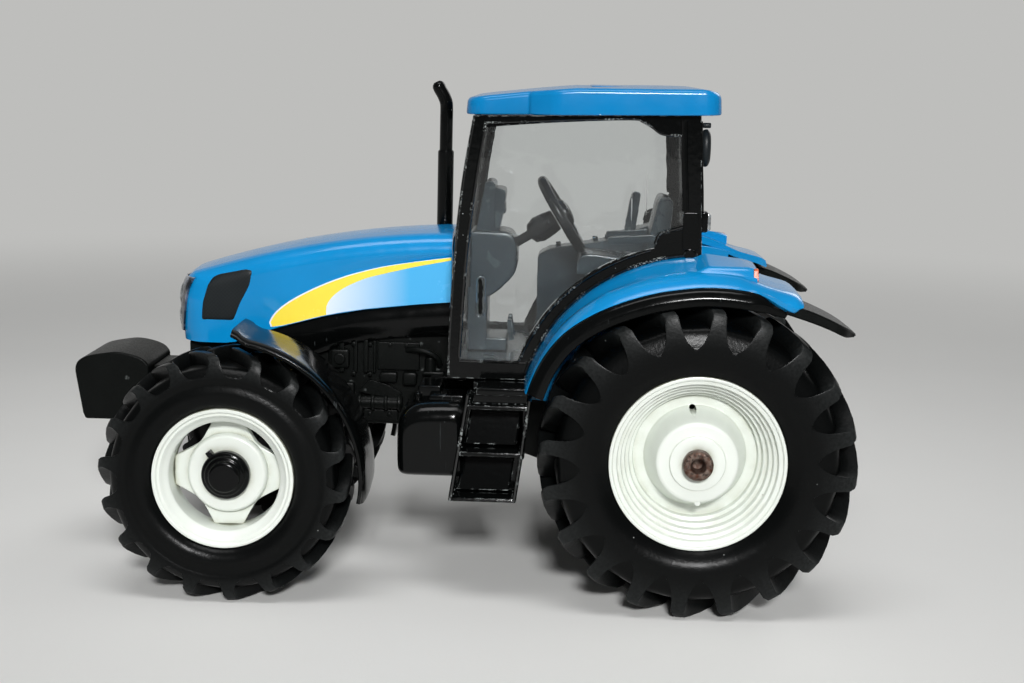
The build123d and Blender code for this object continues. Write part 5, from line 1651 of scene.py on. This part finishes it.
class TRACTOR_OT_trim(bpy.types.Operator):
    """Build the cab's beads, pillar strips, lamp blocks and door handles"""

    bl_idname = "tractor.trim"
    bl_label = "Cab trim"

    def execute(self, context):
        outer = size_mm("cab_frame")[1].y
        trim = Shape()
        # Beads along the door's front pillar, the arch, the sill and the roof: line, depth, radius.
        beads = [
            (curve(((37.35, 83.0), (38.9, 73.0), (40.2, 61.0), (41.1, 45.0), (41.2, 42.2)), 5), 0.05, 0.3),
            (curve(((39.35, 83.6), (41.0, 73.0), (42.15, 61.0), (42.95, 45.0), (43.0, 39.0)), 5), 0.28, 0.32),
            (((29.4, 41.55), (41.1, 41.55)), 0.05, 0.3),
            (curve(DOOR_TOP, 3), 0.05, 0.22),
            (curve(((3.2, 65.95), (5.4, 65.25), (7.2, 64.65), (7.9, 62.9)), 4), 0.05, 0.28),
        ]
        for lift, first, last, steps, sunk, radius in (
            (0.35, 23.0, 89.0, 30, 0.1, 0.34), (2.15, 25.0, 76.0, 26, 0.08, 0.28),
        ):
            arch = [polar(TYRE_REAR + a + lift, turn) for turn, a, _ in fender_stations(first, last, steps)]
            beads.append(([(x, REAR.z + z) for x, z in arch], sunk, radius))
        for line, sunk, radius in beads:
            bead(trim, line, outer - sunk, radius, material=2)
        # The rear pillar's rounded strip, and the block under it.
        strip = [(2.95, 68.6), (3.1, 72.0), (3.5, 78.0), (3.75, 83.9)]
        bead(trim, strip, outer - 0.25, 0.62, 14, material=1)
        bead(trim, [(x - 2.75, z) for x, z in strip], outer - 0.42, 0.42, 12)
        block = rounded(((0.4, 62.0), (3.3, 62.0), (3.35, 68.4), (0.6, 68.4)), 0.5, 3)
        trim.prism(block, outer - 0.6, outer + 0.35, 0.3, material=1)
        trim.rod((1.9, outer - 0.4, 61.2), (1.9, outer + 0.45, 61.2), 1.05, 24, 0.25)
        handle = rounded(((37.25, 49.8), (38.15, 49.8), (38.15, 56.1), (37.25, 56.1)), 0.42, 4)
        trim.prism(handle, outer - 1.0, outer + 0.5, 0.2)
        pair("cab_trim", trim, *RUBBED, moulded_gloss_black, polished_bead)
        rim = Shape()
        around = rounded(((36.95, 49.5), (38.45, 49.5), (38.45, 56.4), (36.95, 56.4)), 0.7, 5)
        ring = [(x, outer + 0.02, z) for x, z in around]
        rim.tube(ring + ring[:1], [0.1] * (len(ring) + 1), 8)
        pair("handle_rim", rim, "clear_plastic", clear_pane)
        return {"FINISHED"}


# The fuel tank's front and top, from the side.
TANK_FRONT = (
    (51.7, 24.0), (51.75, 27.5), (51.65, 30.2), (51.0, 32.2), (49.6, 33.6), (47.6, 34.35), (44.5, 34.6),
    (41.0, 34.65),
)


class TRACTOR_OT_steps(bpy.types.Operator):
    """Build the cab steps and the fuel tanks ahead of them"""

    bl_idname = "tractor.steps"
    bl_label = "Steps and tanks"

    def execute(self, context):
        low, high = size_mm("step_left")
        face = high.y
        steps = Shape()
        front_rail = ((39.15, 37.0), (41.9, 18.5))
        rear_rail = ((28.6, 36.4), (30.9, 18.5))
        for (top_x, top_z), (foot_x, foot_z) in (front_rail, rear_rail):
            outline = [(top_x - 0.36, top_z), (top_x + 0.36, top_z)]
            outline += [(foot_x + 0.36, foot_z), (foot_x - 0.36, foot_z)]
            steps.prism(outline, face - 6.0, face, 0.26)
            bead(steps, ((top_x, top_z), (foot_x, foot_z)), face - 0.12, 0.3, material=1)

        def rail_x(rail, z):
            (x0, z0), (x1, z1) = rail
            return x0 + (z0 - z) * (x1 - x0) / (z0 - z1)

        for z, deep, tall in ((35.0, 7.0, 0.9), (26.8, 6.0, 0.9), (18.75, 6.0, 0.8)):
            ends = rail_x(rear_rail, z), rail_x(front_rail, z)
            steps.box(*ends, face - deep, face - 0.05, z - tall / 2, z + tall / 2, 0.38)
        plate = [(28.9, 36.0), (39.0, 36.6), (41.6, 18.8), (30.9, 18.8)]
        steps.prism(plate, face - 6.9, face - 6.3, 0.12)
        # Riser panels behind each tread, leaning back.
        for z0, z1 in ((27.6, 34.3), (19.4, 26.2)):
            lines = []
            for z, back in ((z0, 4.7), ((z0 + z1) / 2, 5.5), (z1 - 0.4, 6.2), (z1, 6.5)):
                y = face - back
                drop = 37.0 - z
                rear_x, front_x = 29.6 + drop * 0.125, 38.4 + drop * 0.149
                lines.append([
                    (rear_x, y - 0.3, z), (rear_x + 0.3, y, z), (front_x - 0.3, y, z), (front_x, y - 0.3, z),
                    (front_x, y - 1.0, z), (rear_x, y - 1.0, z),
                ])
            steps.solid(lines)
        # Upper tread under the door, and the block that carries it all.
        steps.box(28.8, 37.8, face - 9.0, face - 0.6, 37.0, 38.3, 0.35)
        steps.box(28.9, 38.3, face - 9.5, face - 1.4, 35.2, 37.2, 0.25)
        steps.box(29.4, 38.6, low.y + 0.1, face - 6.3, 24.5, 38.2, 0.4)
        pair("ladder_steps", steps, *RUBBED, polished_bead, node="step", crease=38)

        low, high = size_mm("fuel_tank_left")
        tank = Shape()
        outline = curve(TANK_FRONT, 3) + [(39.9, 34.0), (39.45, 21.9), (40.2, 21.25)]
        outline += curve(((48.5, 21.22), (50.6, 21.35), (51.5, 22.2), (51.7, 24.0)), 3)[:-1]
        middle_x = (low.x + high.x) / 2
        lines = [[(x, low.y + 0.2, z) for x, z in outline]]
        for k in range(10):
            turn = radians(90 * k / 9)
            inset, y = 1 - cos(turn), high.y - 3.4 * (1 - sin(turn))
            line = []
            for x, z in outline:
                share = (z - 21.2) / 13.4
                drop = 3.4 * share**2 - 1.6 * (1 - share) ** 2
                line.append((x - (x - middle_x) * 0.24 * inset, y, z - drop * inset))
            lines.append(line)
        tank.solid(lines)
        tank.box(40.2, 46.4, high.y - 9.0, high.y - 3.2, 34.0, 35.6, 0.5)
        tank.box(44.4, 48.4, high.y - 13.0, high.y - 5.2, 34.0, 36.75, 0.4)
        tank.rod((48.4, high.y - 5.4, 33.4), (48.4, high.y - 5.4, 35.5), 0.8, 20, 0.3)
        tank.box(40.4, 47.0, low.y + 1.5, high.y - 13.5, 36.0, 36.8, 0.2)
        pair("rounded_tank", tank, *GLOSS, node="fuel_tank", crease=40)
        return {"FINISHED"}


# The black flank under the bonnet: its lower edge, and how its face dips from top to bottom.
FLANK_BOTTOM = (
    (43.65, 43.75), (52.7, 43.2), (58.0, 42.5), (62.9, 41.6), (66.3, 40.4), (70.0, 39.3), (76.0, 38.7),
    (81.3, 38.6),
)
FLANK_DIP = (
    (0.0, 0.75), (0.1, 0.45), (0.2, 0.2), (0.33, 0.05), (0.45, 0.0), (0.6, 0.1), (0.75, 0.4), (0.88, 0.8),
    (1.0, 1.4),
)
# Ribs, blocks and covers cast on the engine: x span, how far out, z span, edge.
ENGINE_BLOCKS = (
    (60.55, 61.25, 1.0, 36.6, 42.6, 0.2), (58.6, 59.4, 1.0, 36.6, 42.6, 0.2),
    (57.15, 57.65, 1.0, 36.6, 42.6, 0.2), (62.95, 63.85, 1.0, 36.6, 42.6, 0.2),
    (62.0, 65.4, 1.5, 37.4, 40.9, 0.5), (53.2, 56.4, 1.6, 35.0, 36.9, 0.4),
    (49.6, 52.2, 1.8, 34.6, 37.0, 0.5), (49.2, 56.9, 0.8, 37.2, 42.4, 0.3),
    (53.0, 59.4, 0.7, 27.6, 29.8, 0.3), (61.0, 64.8, 1.2, 29.0, 34.8, 0.6),
    (44.6, 48.5, 2.0, 36.6, 37.3, 0.25),
)


class TRACTOR_OT_engine(bpy.types.Operator):
    """Build the ribbed engine castings, their pipes and the black flanks under the bonnet"""

    bl_idname = "tractor.engine"
    bl_label = "Engine bay"

    def execute(self, context):
        piece("engine_block", softened("engine_casting", edges_mm()[0]), *CHARCOAL, node="engine_casting")
        flank = Shape()
        top = [Vector(p) for p in BONNET_BOTTOM if p[0] < 81]
        under = curve(FLANK_BOTTOM, 3)
        half = size_mm("bonnet")[1].y
        lines = []
        for k in range(29):
            a, b = on_line(top, k / 28), on_line(under, k / 28)
            line = [(a.lerp(b, t), half - 0.02 - dip) for t, dip in FLANK_DIP]
            line += [(p, half - 1.75) for p in (b, a.lerp(b, 0.5), a)]
            lines.append([(p.x, y, p.y) for p, y in line])
        flank.solid(lines)
        pair("bonnet_flank", flank, *GLOSS, node="bonnet_skirt", crease=45)

        side = size_mm("engine_casting")[1].y
        bay = Shape()
        for x0, x1, out, z0, z1, edge in ENGINE_BLOCKS:
            bay.box(x0, x1, side - 0.4, side + out, z0, z1, edge)
        bay.box(44.3, 48.3, side - 0.6, side + 1.7, 33.4, 36.2, 0.35)
        bay.rod((63.7, side, 39.2), (63.7, side + 2.1, 39.2), 1.05, 22, 0.3)
        bay.rod((62.9, side, 32.9), (62.9, side + 1.9, 32.9), 0.9, 20, 0.3)
        # The starter with its bands, and the bracket over it.
        bay.rod((60.6, side + 0.9, 31.2), (52.2, side + 0.9, 31.2), 1.25, 26, 0.35)
        for x in (60.0, 57.6, 55.2, 52.8):
            bay.rod((x - 0.35, side + 0.9, 31.2), (x + 0.35, side + 0.9, 31.2), 1.55, 26, 0.2)
        bracket = ((60.4, 33.2), (58.2, 35.4), (54.6, 34.4), (52.2, 33.0), (53.4, 32.2), (58.0, 32.6))
        bay.prism(rounded(bracket, 0.5), side - 0.4, side + 1.3, 0.3)
        for x in (64.6, 61.2, 58.2, 54.6, 51.6):
            for z in (41.9, 36.4, 29.0):
                bay.rod((x, side - 0.2, z), (x, side + 1.25, z), 0.42, 6, 0.12)
        # The hose and filter by the cab's foot.
        hose = ((51.5, 0.6, 41.0), (49.8, 1.7, 41.2), (47.6, 2.0, 40.9), (45.9, 1.6, 39.8), (45.4, 0.9, 38.4))
        hose = curve([(x, side + out, z) for x, out, z in hose], 6)
        bay.tube(hose, [0.55] * len(hose), 16)
        bay.rod((47.2, side + 0.9, 36.9), (47.2, side + 0.9, 39.9), 1.0, 22, 0.4)
        pair("engine_fittings", bay, *CHARCOAL)
        return {"FINISHED"}


class TRACTOR_OT_chassis(bpy.types.Operator):
    """Build the gearbox, the front carrier, the steered front axle and the hitch"""

    bl_idname = "tractor.chassis"
    bl_label = "Chassis and steering"

    def execute(self, context):
        moulded, fine = edges_mm()
        for name, node in (
            ("gearbox_block", "gearbox_casting"), ("front_carrier", "front_frame"),
            ("axle_beam", "front_axle_beam"), ("weight_carrier", "weight_bracket"),
            ("clevis_hitch", "tow_hitch"),
        ):
            piece(name, softened(node, moulded), *CHARCOAL, node=node)
        piece("track_rod", softened("tie_rod", fine), *CHARCOAL, body="tie_rod", node="tie_rod")
        knuckle = softened("steering_knuckle_left", fine)
        pair("knuckle_yoke", knuckle, *CHARCOAL, body="knuckle_{side}", node="steering_knuckle")
        detail = Shape()
        for x in (-8.2, -4.6, -1.0):
            detail.box(x - 0.4, x + 0.4, -7.0, 7.0, 16.7, 17.6, 0.2)
        for z in (24.2, 33.4):
            for side in (-1, 1):
                detail.rod((-11.0, side * 5.6, z), (-11.5, side * 5.6, z), 0.7, 6, 0.12)
        detail.box(-11.8, -10.9, -6.4, 6.4, 31.8, 37.6, 0.3)
        # The power take-off stub, then each side's arms, pins and rod: ends, radius, steps, edge.
        detail.rod((-11.0, 0, 19.4), (-14.8, 0, 19.4), 1.0, 24, 0.25)
        detail.rod((-11.0, 0, 19.4), (-12.2, 0, 19.4), 2.0, 28, 0.3)
        for (x0, y0, z0), (x1, y1, z1), radius, steps, edge in (
            ((-10.8, 7.0, 36.4), (-17.5, 7.4, 38.6), 0.75, 18, 0.25),
            ((-16.6, 6.4, 38.3), (-16.6, 8.6, 38.3), 1.1, 20, 0.25),
            ((-10.9, 5.0, 22.0), (-20.2, 7.8, 20.6), 0.8, 18, 0.3),
            ((-20.0, 6.9, 20.6), (-20.0, 8.9, 20.6), 1.3, 22, 0.3),
            ((-17.2, 7.4, 38.2), (-18.6, 7.6, 21.2), 0.45, 14, 0.1),
        ):
            for side in (-1, 1):
                detail.rod((x0, side * y0, z0), (x1, side * y1, z1), radius, steps, edge)
        piece("rear_linkage", detail, *CHARCOAL)
        return {"FINISHED"}


class TRACTOR_OT_fittings(bpy.types.Operator):
    """Build the front weight, the exhaust stack and the lamps"""

    bl_idname = "tractor.fittings"
    bl_label = "Weight, exhaust and lamps"

    def execute(self, context):
        weight = Shape()
        face = (
            (113.05, 34.9), (112.95, 36.0), (112.3, 37.1), (110.6, 37.95), (107.6, 38.55), (105.1, 38.8),
            (102.2, 38.3), (100.3, 37.5), (99.3, 36.4),
        )
        foot = rounded(((99.25, 26.1), (107.2, 26.1), (111.3, 26.1)), 0.8, closed=False)
        outline = curve(face, 4) + foot + [(111.75, 27.2)]
        half = size_mm("front_weight")[1].y
        weight.prism(outline, -half, half, 1.3)
        piece("rounded_weight", weight, *CHARCOAL, node="front_weight", crease=60)

        foot = size_mm("exhaust_stack")[0].y
        y = foot + 1.55
        stack = Shape()
        stack.rod((46.7, y, 39.8), (46.7, y, 76.2), 1.53, 32, 0.4)
        bend = (
            (46.7, 75.5), (46.7, 81.0), (46.7, 84.2), (46.85, 85.4), (47.35, 86.6), (47.95, 87.6),
            (48.2, 88.1),
        )
        line = curve([(x, y, z) for x, z in bend], 5)
        line += [line[-1] + Vector((0.12, 0, 0.24)) * k for k in (1, 2, 3, 4)]
        stack.tube(line, [1.24] * (len(line) - 4) + [1.22, 1.13, 0.95, 0.6], 28)
        stack.rod((46.7, y, 41.5), (46.7, foot + 5.6, 41.5), 1.2, 20, 0.3)
        piece("bent_exhaust", stack, *GLOSS, node="exhaust_stack")

        low, high = size_mm("work_lamps")
        middle = (low.z + high.z) / 2
        lamps = Shape()
        face = ((0.0, 0.0), (2.6, 0.0), (3.1, 0.35), (3.25, 0.9), (3.05, 1.3), (2.3, 1.62), (0.0, 1.75))
        profile = rounded(face, 0.2, 2, closed=False)
        flat = Matrix.Rotation(radians(90), 4, "Z") @ Matrix.Diagonal((0.6, 1, 1, 1))
        for side in (-1, 1):
            bowl = Shape()
            bowl.turned(0, 0, profile, 44, closed=False)
            lamps.join(bowl, Matrix.Translation((0.6, side * 19.4, middle)) @ flat)
            lamps.rod((0.5, side * 20.4, 83.2), (-0.9, side * 20.4, 83.2), 0.45, 16, 0.15)
        piece("work_lights", lamps, "black_gloss_plastic", smoked_grille, node="work_lamps")

        low, high = size_mm("tail_lamps")
        lens, frames = Shape(), Shape()
        for side in (-1, 1):
            a, b = sorted((side * (high.y - 2.9), side * high.y))
            frames.box(low.x + 0.5, high.x + 0.4, a, b, low.z, high.z, 0.4)
            y, z = (a + b) / 2, low.z + 1.8
            frames.rod((high.x - 0.1, y, z), (high.x + 1.2, y, z), 0.9, 18, 0.2)
            lens.box(low.x, low.x + 0.9, a + 0.35, b - 0.35, low.z + 0.35, high.z - 0.35, 0.3)
        piece("tail_lights", frames, *GLOSS, node="tail_lamps")
        piece("tail_lenses", lens, "clear_plastic", silvered_lens)
        return {"FINISHED"}


# ------------------------------------------------------------------ stage


def aim(obj, spot, target):
    """Place an object and point it at a target."""
    obj.location = spot
    obj.rotation_euler = (Vector(target) - Vector(spot)).to_track_quat("-Z", "Y").to_euler()


class TRACTOR_OT_stage(bpy.types.Operator):
    """Build the pale floor, the soft lamps, the even light and the camera"""

    bl_idname = "tractor.stage"
    bl_label = "Stage, lamps and camera"

    def execute(self, context):
        stage = context.scene.tractor_stage
        floor = Shape()
        bend, back, front = 260.0, -900.0, 1400.0
        profile = [(front, 0.0), (back + bend, 0.0)]
        profile += arc((back + bend, bend), bend, 261, 180, 9)
        profile += [(back, 1500.0)]
        floor.loft([[(x, y, z) for y, z in profile] for x in (-2600.0, 2600.0)])
        mesh = bpy.data.meshes.new("floor")
        bmesh.ops.transform(floor.mesh, matrix=Matrix.Scale(MM, 4), verts=floor.mesh.verts)
        bmesh.ops.recalc_face_normals(floor.mesh, faces=floor.mesh.faces)
        floor.mesh.to_mesh(mesh)
        floor.mesh.free()
        mesh.polygons.foreach_set("use_smooth", [True] * len(mesh.polygons))
        mesh.materials.append(finish(painted_backdrop))
        put("floor", mesh)

        middle = (0.0, 0.0, 0.045)
        for name, spot, wide, tall, spread, power in (
            ("key lamp", (-0.10, 0.85, 0.42), 0.15, 0.10, 42, stage.key_power),
            ("overhead lamp", (0.02, 0.20, 0.66), 0.44, 0.22, 75, stage.fill_power),
            ("back lamp", (-0.45, -0.65, 0.45), 0.40, 0.30, 90, stage.rim_power),
        ):
            light = bpy.data.lights.new(name, "AREA")
            light.shape, light.size, light.size_y, light.energy = "RECTANGLE", wide, tall, power
            light.spread = radians(spread)
            aim(put(name, light), spot, middle)

        world = bpy.data.worlds.new("even light")
        world.use_nodes = True
        tree = world.node_tree
        tree.nodes.clear()
        spot = add(tree, "ShaderNodeTexCoord").outputs["Generated"]
        up = add(tree, "ShaderNodeSeparateXYZ", {"Vector": spot}).outputs["Z"]
        rise = ramp(tree, up, -0.2, 0.9, 0.35, 1.0)
        tone = blend(tree, rise, linear("#8f8f8e"), linear("#ffffff"))
        glow = add(tree, "ShaderNodeBackground", {"Color": tone, "Strength": stage.sky}).outputs["Background"]
        # Past the paper's ends the camera and the panes see the paper's own colour.
        paper = {"Color": stage.backdrop, "Strength": 1.0}
        pale = add(tree, "ShaderNodeBackground", paper).outputs["Background"]
        seen = seen_by(tree, "Is Camera Ray", "Is Transmission Ray")
        both = add(tree, "ShaderNodeMixShader", {0: seen, 1: glow, 2: pale}).outputs["Shader"]
        add(tree, "ShaderNodeOutputWorld", {"Surface": both})
        context.scene.world = world

        data = bpy.data.cameras.new("camera")
        data.lens, data.sensor_width, data.sensor_fit = stage.lens, 36.0, "HORIZONTAL"
        data.clip_start, data.clip_end = 0.01, 20.0
        camera = put("camera", data)
        pitch, yaw, roll = stage.pitch, stage.yaw, stage.roll
        ahead = Vector((sin(yaw) * cos(pitch), -cos(yaw) * cos(pitch), -sin(pitch)))
        right = Vector((-cos(yaw), -sin(yaw), 0.0))
        up = right.cross(ahead)
        across = right * cos(roll) + up * sin(roll)
        over = up * cos(roll) - right * sin(roll)
        turn = Matrix((across, over, -ahead)).transposed().to_4x4()
        spot = (REAR.x * MM + stage.ahead, stage.reach, stage.height)
        camera.matrix_world = Matrix.Translation(spot) @ turn
        context.scene.camera = camera
        context.scene.view_settings.view_transform = "Standard"
        return {"FINISHED"}


# ------------------------------------------------------------------ add-on

GROUPS = (
    ("tractor_colours", TractorColours), ("tractor_tread", TreadSizes),
    ("tractor_body", BodySizes), ("tractor_stage", StageSettings),
)
BUILDERS = (
    TRACTOR_OT_tyres, TRACTOR_OT_wheel_centres, TRACTOR_OT_hubs, TRACTOR_OT_bonnet, TRACTOR_OT_panels,
    TRACTOR_OT_nose, TRACTOR_OT_roof, TRACTOR_OT_cab, TRACTOR_OT_trim, TRACTOR_OT_inside,
    TRACTOR_OT_rear_fenders, TRACTOR_OT_front_fenders, TRACTOR_OT_steps, TRACTOR_OT_engine,
    TRACTOR_OT_chassis, TRACTOR_OT_fittings, TRACTOR_OT_stage,
)


class TRACTOR_PT_panel(bpy.types.Panel):
    """Lists the tractor's pieces and its sizes and colours"""

    bl_idname = "TRACTOR_PT_panel"
    bl_label = "Toy Farm Tractor"
    bl_space_type = "VIEW_3D"
    bl_region_type = "UI"
    bl_category = "Tractor"

    def draw(self, context):
        for builder in BUILDERS:
            self.layout.operator(builder.bl_idname)
        for name, group in GROUPS:
            box = self.layout.box()
            for prop in group.__annotations__:
                box.prop(getattr(context.scene, name), prop)


def register():
    """Register the groups, the builders and the panel."""
    for name, group in GROUPS:
        bpy.utils.register_class(group)
        setattr(bpy.types.Scene, name, PointerProperty(type=group))
    for builder in BUILDERS:
        bpy.utils.register_class(builder)
    bpy.utils.register_class(TRACTOR_PT_panel)


def unregister():
    """Take them away again."""
    bpy.utils.unregister_class(TRACTOR_PT_panel)
    for builder in reversed(BUILDERS):
        bpy.utils.unregister_class(builder)
    for name, group in reversed(GROUPS):
        delattr(bpy.types.Scene, name)
        bpy.utils.unregister_class(group)


def main():
    """Register the add-on, then build every piece in order."""
    register()
    for builder in BUILDERS:
        group, name = builder.bl_idname.split(".")
        getattr(getattr(bpy.ops, group), name)()


if __name__ == "__main__":
    main()
